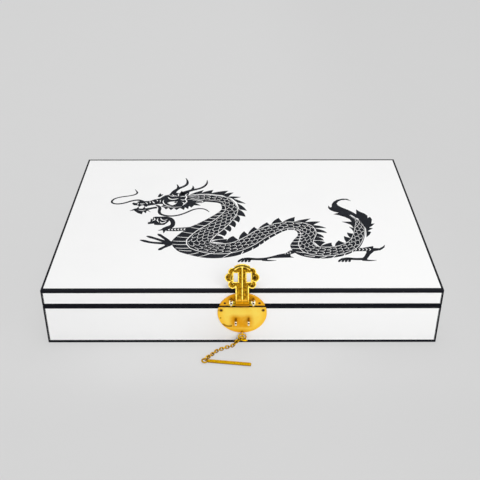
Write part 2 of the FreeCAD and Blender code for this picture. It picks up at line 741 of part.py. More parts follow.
def main():
    build_base()
    build_lid()
    nodes["hasp"] = [hasp()]
    build_chain()
    build_drawers()
    os.makedirs("parts", exist_ok=True)
    for name, shapes in nodes.items():
        pieces = solids(shapes)
        shape = pieces[0] if len(pieces) == 1 else Part.makeCompound(pieces)
        shape.exportStep("parts/%s.step" % name)
    print(len(nodes), "nodes, hasp leant back", round(hasp_lean(), 2), "degrees")


main()
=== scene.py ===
import math
import bmesh
import bpy
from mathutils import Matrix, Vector
from mathutils.geometry import tessellate_polygon


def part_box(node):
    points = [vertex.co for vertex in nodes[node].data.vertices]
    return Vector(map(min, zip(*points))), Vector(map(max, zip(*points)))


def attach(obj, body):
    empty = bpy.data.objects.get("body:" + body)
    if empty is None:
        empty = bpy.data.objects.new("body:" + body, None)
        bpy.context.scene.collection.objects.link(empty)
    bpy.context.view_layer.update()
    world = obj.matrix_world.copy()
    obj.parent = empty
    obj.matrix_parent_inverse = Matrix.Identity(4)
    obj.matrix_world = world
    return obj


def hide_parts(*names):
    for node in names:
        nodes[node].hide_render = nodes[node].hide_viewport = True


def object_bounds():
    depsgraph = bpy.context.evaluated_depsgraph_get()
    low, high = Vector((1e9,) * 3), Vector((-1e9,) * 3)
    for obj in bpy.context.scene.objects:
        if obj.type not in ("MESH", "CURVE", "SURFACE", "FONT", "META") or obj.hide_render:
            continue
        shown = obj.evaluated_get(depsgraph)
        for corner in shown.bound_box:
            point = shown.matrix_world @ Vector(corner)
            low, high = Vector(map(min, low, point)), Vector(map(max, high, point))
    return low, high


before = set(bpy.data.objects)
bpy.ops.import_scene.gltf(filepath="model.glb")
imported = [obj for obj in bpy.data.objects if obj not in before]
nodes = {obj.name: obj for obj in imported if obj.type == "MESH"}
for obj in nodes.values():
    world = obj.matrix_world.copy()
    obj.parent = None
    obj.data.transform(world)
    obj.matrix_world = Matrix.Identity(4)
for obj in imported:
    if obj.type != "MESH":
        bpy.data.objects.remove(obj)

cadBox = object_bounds()
mm = 0.001
scene = bpy.context.scene


# camera: a portrait lens in front of the case, looking down on the lid

shot = dict(lens=57.99, place=(-0.00304, -0.6926, 0.46115), tilt=58.08, turn=-0.1075)


def addCamera():
    lens = bpy.data.cameras.new("camera")
    lens.lens = shot["lens"]
    camera = bpy.data.objects.new("camera", lens)
    camera.location = shot["place"]
    camera.rotation_euler = (math.radians(shot["tilt"]), 0, math.radians(shot["turn"]))
    scene.collection.objects.link(camera)
    scene.camera = camera


# shader maths: a Wire is one output socket, and sums with it add Math nodes

class Wire:
    def __init__(self, finish, socket):
        self.finish, self.socket = finish, socket

    def __add__(self, other):
        return self.finish.maths("ADD", self, other)

    def __sub__(self, other):
        return self.finish.maths("SUBTRACT", self, other)

    def __rsub__(self, other):
        return self.finish.maths("SUBTRACT", other, self)

    def __mul__(self, other):
        return self.finish.maths("MULTIPLY", self, other)

    def __gt__(self, other):
        return self.finish.maths("GREATER_THAN", self, other)

    def __lt__(self, other):
        return self.finish.maths("LESS_THAN", self, other)

    def __abs__(self):
        return self.finish.maths("ABSOLUTE", self)

    __radd__ = __add__
    __rmul__ = __mul__


class NodeTree:
    def __init__(self, tree):
        self.tree = tree

    def feed(self, socket, value):
        if isinstance(value, Wire):
            self.tree.links.new(value.socket, socket)
        elif socket.type == "RGBA" and len(value) == 3:
            socket.default_value = (*value, 1)
        else:
            socket.default_value = value

    def node(self, kind, settings=None, inputs=None, output=0):
        made = self.tree.nodes.new(kind)
        for name, value in (settings or {}).items():
            setattr(made, name, value)
        for name, value in (inputs or {}).items():
            self.feed(made.inputs[name], value)
        return Wire(self, made.outputs[output])

    def maths(self, operation, *values):
        return self.node("ShaderNodeMath", dict(operation=operation), dict(enumerate(values)))

    def distance(self, across, up):  # from nought to a place that far across and that far up
        return self.maths("SQRT", across * across + up * up)

    def spot(self, across, up, inner, outer):  # 1 up to inner from nought, and 0 from outer on
        return 1 - self.ramp(self.distance(across, up), inner, outer)

    def vector(self, operation, *values):
        return self.node("ShaderNodeVectorMath", dict(operation=operation), dict(enumerate(values)))

    def mix(self, first, second, factor):
        return self.node("ShaderNodeMix", dict(data_type="RGBA"), {0: factor, 6: first, 7: second}, 2)

    def ramp(self, value, low, high):  # 0 below low, 1 above high, smooth between
        settings = dict(interpolation_type="SMOOTHSTEP")
        return self.node("ShaderNodeMapRange", settings, {0: value, 1: low, 2: high})


class Finish(NodeTree):
    def __init__(self, name, **sockets):
        self.material = bpy.data.materials.new(name)
        self.material.use_nodes = True
        super().__init__(self.material.node_tree)
        self.shader = self.tree.nodes["Principled BSDF"]
        for socket, value in sockets.items():
            self.set(socket.replace("_", " "), value)
        self.bumps = None

    def set(self, socket, value):
        self.feed(self.shader.inputs[socket], value)

    def place(self):
        return self.node("ShaderNodeTexCoord", output=3)

    def parts(self, vector):
        split = self.node("ShaderNodeSeparateXYZ", inputs={0: vector}).socket.node
        return [Wire(self, output) for output in split.outputs]

    def noise(self, scale, detail=2, roughness=0.5, stretch=(1, 1, 1), warp=0):
        place = self.vector("MULTIPLY", self.place(), stretch)
        inputs = {"Vector": place, "Scale": scale, "Detail": detail, "Roughness": roughness,
                  "Distortion": warp}
        return self.node("ShaderNodeTexNoise", inputs=inputs)

    def bump(self, height, distance, strength=1):
        inputs = {"Height": height, "Distance": distance, "Strength": strength}
        if self.bumps:
            inputs["Normal"] = self.bumps
        self.bumps = self.node("ShaderNodeBump", inputs=inputs)
        self.set("Normal", self.bumps)

    def edges(self, radius):  # 0 on flat faces, rising to 1 on an edge
        soft = self.node("ShaderNodeBevel", dict(samples=4), {"Radius": radius})
        sharp = self.node("ShaderNodeNewGeometry", output=1)
        facing = self.vector("DOT_PRODUCT", soft, sharp)
        dot = Wire(self, facing.socket.node.outputs[1])
        return self.ramp(1 - dot, 0.005, 0.16)

    def hollows(self, distance, low=0.15, high=0.75):  # 0 in the open, 1 where the surface is closed in
        inputs = {"Distance": distance}
        shade = self.node("ShaderNodeAmbientOcclusion", dict(samples=6), inputs, 1)
        return self.ramp(1 - shade, low, high)

    def undersideShade(self):  # 1 where the surface faces down
        facing = self.parts(self.node("ShaderNodeNewGeometry", output=1))[2]
        return 1 - self.ramp(facing, -0.75, 0.35)


# the hasp's own measures, in millimetres across it, up it from its rod and out of its face

hasp = dict(
    axis=(-137.35, 49.65), lean=math.radians(33.2), front=3.35, strap=6.0, windows=22.3,
    core=10.0, lobes=[(8.7, -6.0, 3.85), (11.3, 0.0, 4.1), (8.8, 4.9, 3.8)],
    window=(5.8, 1.8, 3.95), lipMiddle=21.4, lipReach=13.0, lipHalf=6.6,
    # the radii of the beads that are cast onto it
    rim=0.5, flange=0.75, windowBead=0.42, cloud=0.4, rib=0.72, lip=0.5,
    # the cloud's inner edge: its half turn in degrees, middle, reach and depth
    inner=dict(turn=52, middle=(3.2, -0.4), reach=(6.9, 7.6), depth=0.6),
    # painted shade in the hollows: where each spot lies, how far it reaches and how dark it is
    shadeAndFlecks=[
        ((11.2, 22), 2.3, 1), ((9.8, 25.4), 1.6, 0.9), ((8.9, 14.8), 1.7, 0.85), ((6.6, 15.4), 1.3, 0.6),
        ((-13, 22.6), 1.3, 0.75), ((-12.6, 24.9), 1.2, 0.5), ((-12.8, 20.2), 1.2, 0.6),
        ((-8.4, 29.2), 1.5, 0.45), ((-9, 16), 1.6, 0.5), ((8.8, 29), 1.6, 0.65), ((2.6, 30.6), 1.9, 0.7),
        ((-2.4, 30.6), 1.7, 0.5), ((1.8, 25), 1.1, 0.5), ((-1.6, 20.6), 1, 0.35), ((2, 16.6), 1.2, 0.45),
        ((-2.4, 12), 1.1, 0.4), ((2.6, 9), 1.2, 0.4), ((-2.6, 6.4), 1.2, 0.35)],
)


# finishes

def whiteLacquer():
    look = dict(colour=(0.905, 0.905, 0.903), shade=(0.885, 0.885, 0.886), peel=900)
    f = Finish("white_lacquer", Coat_Weight=0.12, Coat_Roughness=0.15, Specular_IOR_Level=0.3)
    f.set("Base Color", f.mix(look["shade"], look["colour"], f.ramp(f.noise(9, 3), 0.25, 0.55)))
    f.set("Roughness", 0.3 + 0.08 * f.noise(60, 4))
    f.bump(f.noise(look["peel"], 1), 0.000006)
    return f


def blackLacquer():
    look = dict(colour=(0.005, 0.0055, 0.009), worn=(0.02, 0.02, 0.024), sides=0.1783)
    f = Finish("black_lacquer", Specular_IOR_Level=0.08)
    x, _, _ = f.parts(f.place())
    onSide = abs(x) > look["sides"]
    alongX = f.noise(1, 3, stretch=(40, 900, 900))
    alongY = f.noise(1, 3, stretch=(900, 40, 900))
    grain = alongX * (1 - onSide) + alongY * onSide
    wearAndShade = f.edges(0.0006) * f.ramp(f.noise(70, 4), 0.5, 0.75)
    f.set("Base Color", f.mix(look["colour"], look["worn"], wearAndShade * 0.5))
    f.set("Roughness", 0.35 + 0.2 * grain)
    f.bump(grain, 0.00004)
    return f


def printInk():
    look = dict(colour=(0.011, 0.0125, 0.017), thin=(0.022, 0.025, 0.031))
    f = Finish("print_ink", Specular_IOR_Level=0.06)
    f.set("Base Color", f.mix(look["colour"], look["thin"], f.ramp(f.noise(160, 5, 0.65), 0.5, 0.72)))
    f.set("Roughness", 0.5 + 0.15 * f.noise(300, 2))
    f.bump(f.noise(1500, 2), 0.000012)
    return f


def castBrass(name, bright, deep, dark):
    f = Finish(name, Metallic=0.4, Specular_IOR_Level=0.03)
    # darker in the hollows, as old patina and painted shade, and painted shade on the undersides that face
    # down
    patinaAndShade = f.maths("MAXIMUM", f.hollows(0.003, 0.06, 0.45), f.undersideShade() * 0.85)
    wearAndShade = f.edges(0.00045)
    cloud = f.ramp(f.noise(320, 4, 0.6), 0.38, 0.62)
    body = f.mix(deep, bright, cloud * 0.5 + wearAndShade * 0.5)
    f.set("Base Color", f.mix(body, dark, patinaAndShade * 0.9))
    f.set("Roughness", 0.2 + 0.16 * f.noise(400, 3) + 0.2 * patinaAndShade)
    f.bump(f.noise(700, 3, 0.6), 0.00005)
    return f


def nailBrass():
    look = dict(head=(0.2, 0.09, 0.02), darkHead=(0.03, 0.018, 0.012))
    f = Finish("nail_brass", Metallic=0.5, Specular_IOR_Level=0.2)
    wearAndShade = f.edges(0.0003) * f.ramp(f.noise(900, 3), 0.4, 0.6)
    # nearly black nail heads, with brass showing where their edges are worn
    f.set("Base Color", f.mix(look["darkHead"], look["head"], wearAndShade))
    f.set("Roughness", 0.4 + 0.2 * f.noise(700, 2))
    f.bump(f.noise(1600, 2), 0.00005)
    return f


def eyeBrass():
    look = dict(brown=(0.3, 0.13, 0.002), highlightColour=(1.0, 0.94, 0.75), yellow=(1.0, 0.68, 0.02),
                dark=(0.02, 0.01, 0.003), front=-0.1375,
                lockEyes=27.35, haspEyes=49.65, lockHalf=5.8, haspHalf=9.9, reflectionDot=1.3)
    f = Finish("eye_brass", Metallic=0.85, Specular_IOR_Level=0.1)
    x, y, z = f.parts(f.place())
    x, z = x * 1000, z * 1000
    # x and z run from the middle of the eye, on the two lock eyes below and the two hasp eyes above
    upper = z > (look["lockEyes"] + look["haspEyes"]) / 2
    z = z - look["lockEyes"] - upper * (look["haspEyes"] - look["lockEyes"])
    x = abs(x) - look["lockHalf"] - upper * (look["haspHalf"] - look["lockHalf"])
    # a painted highlight on the front of each eye
    highlightZone = f.ramp(z, -1.6, -1.0) * (1 - f.ramp(z, 2.2, 2.7)) * (y < look["front"])
    highlightZone = highlightZone * (1 - f.ramp(abs(x), 1.3, 1.7))
    # the top of each eye is brown as painted shade
    colour = f.mix(look["yellow"], look["brown"], f.ramp(z, 1.6, 2.6))
    colour = f.mix(colour, look["highlightColour"], highlightZone)
    # a painted dark reflection: a dot in the highlight
    reflectionDot = f.spot(x, z - look["reflectionDot"], 0.6, 0.8) * highlightZone
    # painted shade in the hollows and on the hasp rod between the two hasp eyes
    dark = f.maths("MAXIMUM", f.hollows(0.0012, 0.2, 0.7) * 0.9, reflectionDot) + f.ramp(-1 * x, 1.5, 1.9) * 0.7
    dark = f.maths("MINIMUM", dark, 1)
    f.set("Base Color", f.mix(colour, look["dark"], dark))
    f.set("Roughness", 0.1 + 0.16 * f.noise(500, 3))
    f.bump(f.noise(900, 2), 0.00004)
    return f


def haspBrass():
    look = dict(worn=(1.0, 0.72, 0.12), body=(0.62, 0.34, 0.01), deep=(0.19, 0.085, 0.001),
                shadeAndFlecks=(0.012, 0.006, 0.001), knuckle=(0.4, 0.17, 0.001), knuckleHighlight=(0.74, 0.4, 0.03),
                knuckleLitFoot=(0.62, 0.28, 0.002))
    f = Finish("hasp_brass", Metallic=0.72, Specular_IOR_Level=0.08)
    x, y, z = f.parts(f.place())
    # u, v and w are millimetres across the hasp, up it from its rod, and out of its face
    sine, cosine = math.sin(hasp["lean"]), math.cos(hasp["lean"])
    y, z = y * 1000 - hasp["axis"][0], z * 1000 - hasp["axis"][1]
    u, v, w = x * 1000, y * sine + z * cosine, z * sine - y * cosine
    raised = f.ramp(w, 2.75, 3.2)
    streaks = f.noise(1, 3, 0.7, stretch=(1300, 500, 500))
    grit = f.ramp(f.noise(620, 3, 0.7), 0.3, 0.56)
    recess = f.mix(look["deep"], look["body"], f.ramp(streaks, 0.4, 0.66))
    colour = f.mix(recess, f.mix(look["body"], look["worn"], grit), raised)
    flecks = f.ramp(f.noise(380, 3, 0.6), 0.58, 0.68) * (1 - raised)
    # painted shade in the hollows, at the spots listed in hasp and in a band under the lip's crescent, with
    # dark flecks in the recess
    shadeAndFlecks = f.hollows(0.0016, 0.06, 0.5) * (1 - 0.6 * raised) + flecks * 0.6
    for (spotU, spotV), reach, weight in hasp["shadeAndFlecks"]:
        shadeAndFlecks = shadeAndFlecks + f.spot(u - spotU, v - spotV, reach * 0.5, reach) * weight
    fromLip = f.distance(u, v - hasp["lipMiddle"])
    band = f.ramp(fromLip, 10.5, 10.8) * (1 - f.ramp(fromLip, 11.9, 12.3)) * (v > 30) * (w > 2)
    shadeAndFlecks = f.maths("MINIMUM", shadeAndFlecks + band, 1)
    colour = f.mix(colour, look["shadeAndFlecks"], shadeAndFlecks * 0.9)
    # the rolled knuckle: a painted highlight along its top and painted light on its foot, which faces down
    rolled = f.mix(look["knuckle"], look["knuckleHighlight"], f.ramp(v, 0.4, 2.0))
    rolled = f.mix(look["knuckleLitFoot"], rolled, f.ramp(v, -3.0, -1.6))
    rolling = 1 - f.ramp(v, 2.3, 3.3)
    colour = f.mix(colour, rolled, rolling)
    f.set("Base Color", colour)
    f.set("Roughness", 0.2 + 0.2 * f.noise(400, 3) + 0.25 * (1 - raised))
    f.bump(f.noise(1400, 3, 0.6), 0.00006)
    f.bump(streaks * (1 - rolling), 0.00012)
    return f


def satinBrass():
    look = dict(pale=(1.0, 0.73, 0.115), bright=(1.0, 0.58, 0.04), amber=(0.84, 0.36, 0.001),
                brown=(0.25, 0.09, 0.001), glint=(1.0, 0.7, 0.002), lines=(40, 1600, 1600),
                middle=34.7, seam=(42.8, 43.6), foot=(14, 20.5), haspEyes=9.9, scratch=(-12, 26.9, 6.8),
                # dark marks round the nails and at the edge: x, z, reach and weight
                marks=((-19, 38.2, 2.3, 0.85), (-21, 38.3, 1.5, 0.5), (19, 38.2, 2.1, 0.85),
                       (-15.6, 46.1, 1.5, 0.8), (15.6, 46.1, 1.6, 0.85), (-19.7, 29.6, 1.1, 0.7),
                       (-12.5, 44.6, 0.9, 0.3), (-11.6, 50.4, 0.8, 0.4)))
    f = Finish("satin_brass", Metallic=0.2, Specular_IOR_Level=0.06)
    x, _, z = f.parts(f.place())
    x, z = x * 1000, z * 1000
    lines = f.noise(1, 3, 0.7, stretch=look["lines"])
    cloud = f.ramp(f.noise(110, 4, 0.6), 0.35, 0.7)
    outwards = f.ramp(f.distance(x, z - look["middle"]), 14, 22)
    colour = f.mix(look["pale"], look["bright"], f.maths("MAXIMUM", cloud * 0.4, outwards))
    # painted shade: darker amber where the shut hasp lies over it, round the two lock eyes, along its foot
    # and above the seam
    across = 1 - f.ramp(abs(x + 0.6), 6.5, 12.5)
    up = f.ramp(z, 17.5, 20) * (1 - f.ramp(z, 29, 35))
    foot = (1 - f.ramp(z, *look["foot"])) * (1 - 0.7 * f.ramp(x, 0, 10))
    wearAndShade = across * up * (0.75 + 0.5 * cloud) + 0.85 * foot
    wearAndShade = f.maths("MINIMUM", wearAndShade + f.ramp(z, *look["seam"]) * (0.75 + 0.35 * across), 1)
    colour = f.mix(colour, look["amber"], wearAndShade * 0.9)
    # a glint under the hasp's two eyes
    under = (1 - f.ramp(abs(abs(x) - look["haspEyes"]), 1.6, 2.8)) * f.ramp(z, 42.5, 42.8)
    under = under * (1 - f.ramp(z, 45.2, 46.6))
    colour = f.mix(colour, look["glint"], under)
    # painted shade in brown round the nails and the eyes, the dark marks listed above, and brown along the
    # scratch that the lock pin wore
    scratchX, scratchZ, reach = look["scratch"]
    away = abs(f.distance(x - scratchX, z - scratchZ) - reach)
    scratch = (1 - f.ramp(away, 0.5, 1.25)) * (x < -9.4) * (z < 23)
    brown = f.maths("MAXIMUM", f.hollows(0.0014, 0.08, 0.5) * 0.6 * (1 - under), scratch * 0.8)
    for markX, markZ, reach, weight in look["marks"]:
        smudge = f.spot(x - markX, z - markZ, reach * 0.5, reach) * weight
        brown = f.maths("MAXIMUM", brown, smudge)
    f.set("Base Color", f.mix(colour, look["brown"], brown))
    f.set("Roughness", 0.34 + 0.16 * lines)
    f.bump(lines, 0.00003)
    return f


def velvet(name, pile, shade):
    f = Finish(name, Roughness=0.95, Sheen_Weight=0.7, Sheen_Roughness=0.35, Specular_IOR_Level=0.1)
    f.set("Sheen Tint", (1.0, 0.45, 0.42))
    brushed = f.ramp(f.noise(34, 4, 0.6, warp=0.6), 0.3, 0.75)
    tuft = f.noise(2600, 2)
    f.set("Base Color", f.mix(shade, pile, 0.35 + brushed * 0.3 + tuft * 0.35))
    f.bump(tuft, 0.0003)
    return f


def satinRibbon():
    look = dict(colour=(0.78, 0.52, 0.16), shade=(0.55, 0.33, 0.08), threads=2400)
    f = Finish("ribbon", Sheen_Weight=0.3, Specular_IOR_Level=0.6)
    x, y, z = f.parts(f.place())
    thread = f.maths("SINE", (y + z) * look["threads"] * 2) * f.maths("SINE", x * look["threads"] * 2)
    f.set("Base Color", f.mix(look["shade"], look["colour"], f.ramp(thread, -0.6, 0.6)))
    f.set("Roughness", 0.34 + 0.2 * f.noise(500, 2))
    f.bump(thread, 0.00006)
    return f


def drawerLacquer():
    look = dict(colour=(0.02, 0.018, 0.018), worn=(0.085, 0.05, 0.03), grain=(60, 60, 900))
    f = Finish("drawer_lacquer", Coat_Weight=0.25, Coat_Roughness=0.2)
    grain = f.noise(1, 4, 0.6, stretch=look["grain"])
    wearAndShade = f.edges(0.0008) * f.ramp(f.noise(90, 4), 0.42, 0.7)
    f.set("Base Color", f.mix(look["colour"], look["worn"], wearAndShade * 0.5))
    f.set("Roughness", 0.32 + 0.2 * grain)
    f.bump(grain, 0.00012)
    return f


finishes = {
    "white_lacquer": whiteLacquer(),
    "black_lacquer": blackLacquer(),
    "polished_brass": castBrass("polished_brass", (1.0, 0.62, 0.001), (0.62, 0.3, 0.0005),
                                (0.07, 0.025, 0.0005)),
    "satin_brass": satinBrass(),
    "red_velvet": velvet("red_velvet", (0.36, 0.012, 0.02), (0.14, 0.004, 0.008)),
    "red_felt": velvet("red_felt", (0.42, 0.02, 0.028), (0.22, 0.01, 0.014)),
    "ribbon": satinRibbon(),
    "drawer_lacquer": drawerLacquer(),
}
pinFinish = castBrass("pin_brass", (0.62, 0.4, 0.001), (0.5, 0.25, 0.001), (0.16, 0.06, 0.001))
ringFinish = castBrass("ring_brass", (1.0, 0.7, 0.001), (0.85, 0.45, 0.001), (0.26, 0.09, 0.001))
printInkFinish, haspFinish, nailFinish, eyeFinish = printInk(), haspBrass(), nailBrass(), eyeBrass()

# the frame pieces whose finish isn't their slot's
ownFinishes = dict(clasp_lower_nails=nailFinish, clasp_upper_nails=nailFinish, lock_eyes=eyeFinish,
                   hasp_eyes=eyeFinish, hasp_rod=eyeFinish, lock_pin=pinFinish, chain_ring=ringFinish,
                   chain_eye=ringFinish, pin_ring=ringFinish)


def dressFrame():
    for name, piece in nodes.items():
        for material in piece.material_slots:
            finish = ownFinishes.get(name) or finishes[material.material.name]
            material.material = finish.material
    print("dressed", len(nodes), "frame pieces")


def newPiece(name, mesh, finish):
    mesh.materials.clear()
    mesh.materials.append(finish.material)
    piece = bpy.data.objects.new(name, mesh)
    scene.collection.objects.link(piece)
    return piece


# a round wire along a line, with a radius at each place
def addWire(bm, line, radii, outward, closed=False, sides=10):
    count, rings = len(line), []
    for i, (middle, radius) in enumerate(zip(line, radii)):
        before = line[i - 1] if closed or i else line[0]
        after = line[(i + 1) % count] if closed or i < count - 1 else line[-1]
        side = (after - before).normalized().cross(outward)
        rings.append([bm.verts.new(middle + radius * mm * (math.cos(t) * side + math.sin(t) * outward))
                      for t in (2 * math.pi * k / sides for k in range(sides))])
    for a, b in zip(rings, rings[1:] + rings[:1] if closed else rings[1:]):
        for k in range(sides):
            bm.faces.new((a[k], a[(k + 1) % sides], b[(k + 1) % sides], b[k]))
    if not closed:
        bm.faces.new(list(reversed(rings[0])))
        bm.faces.new(rings[-1])


# the cast hasp: the frame's hasp with round rims, a rib, a lip and beads round the windows cast onto it

class Casting:
    def __init__(self, node):
        self.bm = bmesh.new()
        self.bm.from_mesh(nodes[node].data)
        bmesh.ops.remove_doubles(self.bm, verts=self.bm.verts, dist=1e-6)

    def place(self, u, v, w):
        sine, cosine = math.sin(hasp["lean"]), math.cos(hasp["lean"])
        y, z = hasp["axis"]
        return Vector((u, y + v * sine - w * cosine, z + v * cosine + w * sine)) * mm

    def bead(self, path, radius, closed=False):  # a round bead along places in u, v and w
        outward = (self.place(0, 0, 1) - self.place(0, 0, 0)).normalized()
        addWire(self.bm, [self.place(*point) for point in path], [radius] * len(path), outward, closed)

    def cast(self, name, grain, finish, body):
        bmesh.ops.recalc_face_normals(self.bm, faces=self.bm.faces)
        mesh = bpy.data.meshes.new(name)
        self.bm.to_mesh(mesh)
        piece = newPiece(name, mesh, finish)
        melt = piece.modifiers.new("melt", "REMESH")
        melt.mode, melt.voxel_size, melt.use_smooth_shade = "VOXEL", grain * mm, True
        polish = piece.modifiers.new("polish", "SMOOTH")
        polish.factor, polish.iterations = 0.5, 3
        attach(piece, body)
        return piece


def cloudEdge(inset, steps=96):  # the edge of the hasp's head, drawn in by an inset
    shapes = [(0, 0, hasp["core"])] + [(side * u, v, r) for u, v, r in hasp["lobes"] for side in (-1, 1)]
    edge = []
    for k in range(steps):
        turn = 2 * math.pi * k / steps
        x, y = math.cos(turn), math.sin(turn)
        reach = 0
        for u, v, r in shapes:
            along = u * x + v * y
            short = (r - inset) ** 2 - (u * u + v * v - along * along)
            if short > 0:
                reach = max(reach, along + math.sqrt(short))
        edge.append((reach * x, hasp["windows"] + reach * y))
    return edge


def castHasp():
    casting = Casting("hasp")
    front, strap, middle = hasp["front"], hasp["strap"], hasp["windows"]
    rim, flange, bead, inner = hasp["rim"], hasp["flange"], hasp["windowBead"], hasp["inner"]
    rib, lip, lipHalf = hasp["rib"], hasp["lip"], hasp["lipHalf"]
    edge = [(u, v, front - rim) for u, v in cloudEdge(rim) if v > middle or abs(u) > strap - rim]
    # the widest gap in the edge is where the strap runs into it
    neck = max(range(len(edge)), key=lambda i: math.dist(edge[i - 1], edge[i]))
    casting.bead(edge[neck:] + edge[:neck], rim)
    window, across, along = hasp["window"]
    across, along = across + bead, along + bead - 0.1
    corners = [(-across, -along), (across, -along), (across, along), (-across, along)]
    for side in (-1, 1):
        casting.bead([(side * (strap - flange), 1.5 + 0.6 * k, front - flange) for k in range(21)], flange)
        ring = [(side * window + u, middle + v, front - bead)
                for start, end in zip(corners, corners[1:] + corners[:1])
                for u, v in (mixed(start, end, k / 8) for k in range(8))]
        casting.bead(ring, bead, closed=True)
        line = []  # the cloud's inner edge, between the window and the lobes
        for k in range(25):
            turn = math.radians(inner["turn"] * (k / 12 - 1))
            u = inner["middle"][0] + inner["reach"][0] * math.cos(turn)
            v = inner["middle"][1] + inner["reach"][1] * math.sin(turn)
            line.append((side * u, middle + v, front - inner["depth"]))
        casting.bead(line, hasp["cloud"])
    casting.bead([(0, 1.8 + 0.6 * k, front - rib) for k in range(53)], rib)
    lipReach = hasp["lipReach"] - lip
    arc = [(u, hasp["lipMiddle"] + math.sqrt(lipReach ** 2 - u * u), front - lip)
           for u in (lipHalf * (k / 12 - 1) for k in range(25))]
    casting.bead(arc, lip)
    piece = casting.cast("cast_hasp", 0.18, haspFinish, "hasp")
    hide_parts("hasp")
    print("cast the hasp")


# the lacquer that laps over from the edging onto the white faces, in millimetres

edgeLines = dict(
    corner=177.8, faces=132.49, width=0.5, proud=0.04,  # the lines beside the corner posts
    uprights=dict(lid=(45, 56.5), base=(2.9, 39.4)),
    # the x, y and z ranges of the lines along the lid's top and the base's foot
    lid=[(177.8, 178.45, -129.1, 130.5, 59.38, 59.43), (-178.45, -177.8, -129.1, 130.5, 59.38, 59.43),
         (-178.4, 178.4, 129.6, 130.55, 59.38, 59.43)],
    base=[(-178.4, 178.4, -132.53, -132.45, 2.85, 3.2), (-178.4, 178.4, 132.45, 132.53, 2.85, 3.2)],
)


def besideCorners(low, high):
    corner, width, proud = edgeLines["corner"], edgeLines["width"], edgeLines["proud"]
    return [(x, x + width, y - proud, y + proud, low, high)
            for x in (corner, -corner - width) for y in (-edgeLines["faces"], edgeLines["faces"])]


def addBlock(bm, x0, x1, y0, y1, z0, z1):
    corners = [(x, y, z) for z in (z0, z1) for x, y in ((x0, y0), (x1, y0), (x1, y1), (x0, y1))]
    made = [bm.verts.new(Vector(corner) * mm) for corner in corners]
    for a, b, c, d in ((3, 2, 1, 0), (4, 5, 6, 7), (0, 1, 5, 4), (1, 2, 6, 5), (2, 3, 7, 6), (3, 0, 4, 7)):
        bm.faces.new((made[a], made[b], made[c], made[d]))


def paintEdgeLines():
    for body, heights in edgeLines["uprights"].items():
        bm = bmesh.new()
        for line in edgeLines[body] + besideCorners(*heights):
            addBlock(bm, *line)
        mesh = bpy.data.meshes.new(body + "_edge_lines")
        bm.to_mesh(mesh)
        piece = newPiece(body + "_edge_lines", mesh, finishes["black_lacquer"])
        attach(piece, body)
    print("painted the edge lines")


# the chain: its links with the wire's full thickness, and the curled end of its ring

chainLook = dict(
    wire=0.17,  # what each link's wire gains all round
    foot=(0.4, 0.8),  # it gains nothing up to the first height, and all of it that much higher
    # the ring's end: x, y, z and the wire's radius
    ringEnd=[
        (-2.6, -136.2, 7.2, 0.6), (-2.1, -136.5, 8.9, 0.75), (-0.9, -136.6, 9.9, 0.75),
        (0.7, -136.6, 9.9, 0.75), (1.5, -136.5, 8.9, 0.7), (0.8, -136.4, 7.9, 0.7),
        (-0.5, -136.6, 7.6, 0.7), (-0.1, -137, 6.8, 0.8), (1.2, -137.2, 6.6, 1.05),
        (2.8, -137.2, 6.5, 1.15), (4.1, -137.1, 6.1, 0.8), (4.9, -137, 5.8, 0.2)],
)


def thickenLinks():
    mesh = nodes["chain_links"].data.copy()
    mesh.name = "thick_links"
    piece = newPiece("thick_links", mesh, finishes["polished_brass"])
    raised = piece.vertex_groups.new(name="raised")
    low, fade = chainLook["foot"]
    for vertex in mesh.vertices:  # nothing grows down into the table
        raised.add([vertex.index], min(max((vertex.co.z / mm - low) / fade, 0), 1), "REPLACE")
    grow = piece.modifiers.new("grow", "DISPLACE")
    grow.mid_level, grow.strength, grow.vertex_group = 0, chainLook["wire"] * mm, "raised"
    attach(piece, "chain")
    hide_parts("chain_links")


def curlRingEnd():
    line = smoothed(chainLook["ringEnd"], 6)
    bm = bmesh.new()
    addWire(bm, [Vector(point[:3]) * mm for point in line], [point[3] for point in line], Vector((0, -1, 0)))
    bmesh.ops.recalc_face_normals(bm, faces=bm.faces)
    for face in bm.faces:
        face.smooth = True
    mesh = bpy.data.meshes.new("chain_ring_end")
    bm.to_mesh(mesh)
    piece = newPiece("chain_ring_end", mesh, ringFinish)
    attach(piece, "chain")
    print("dressed the chain")


# flat shapes printed on the lid: every shape is a thin closed slab, drawn in millimetres

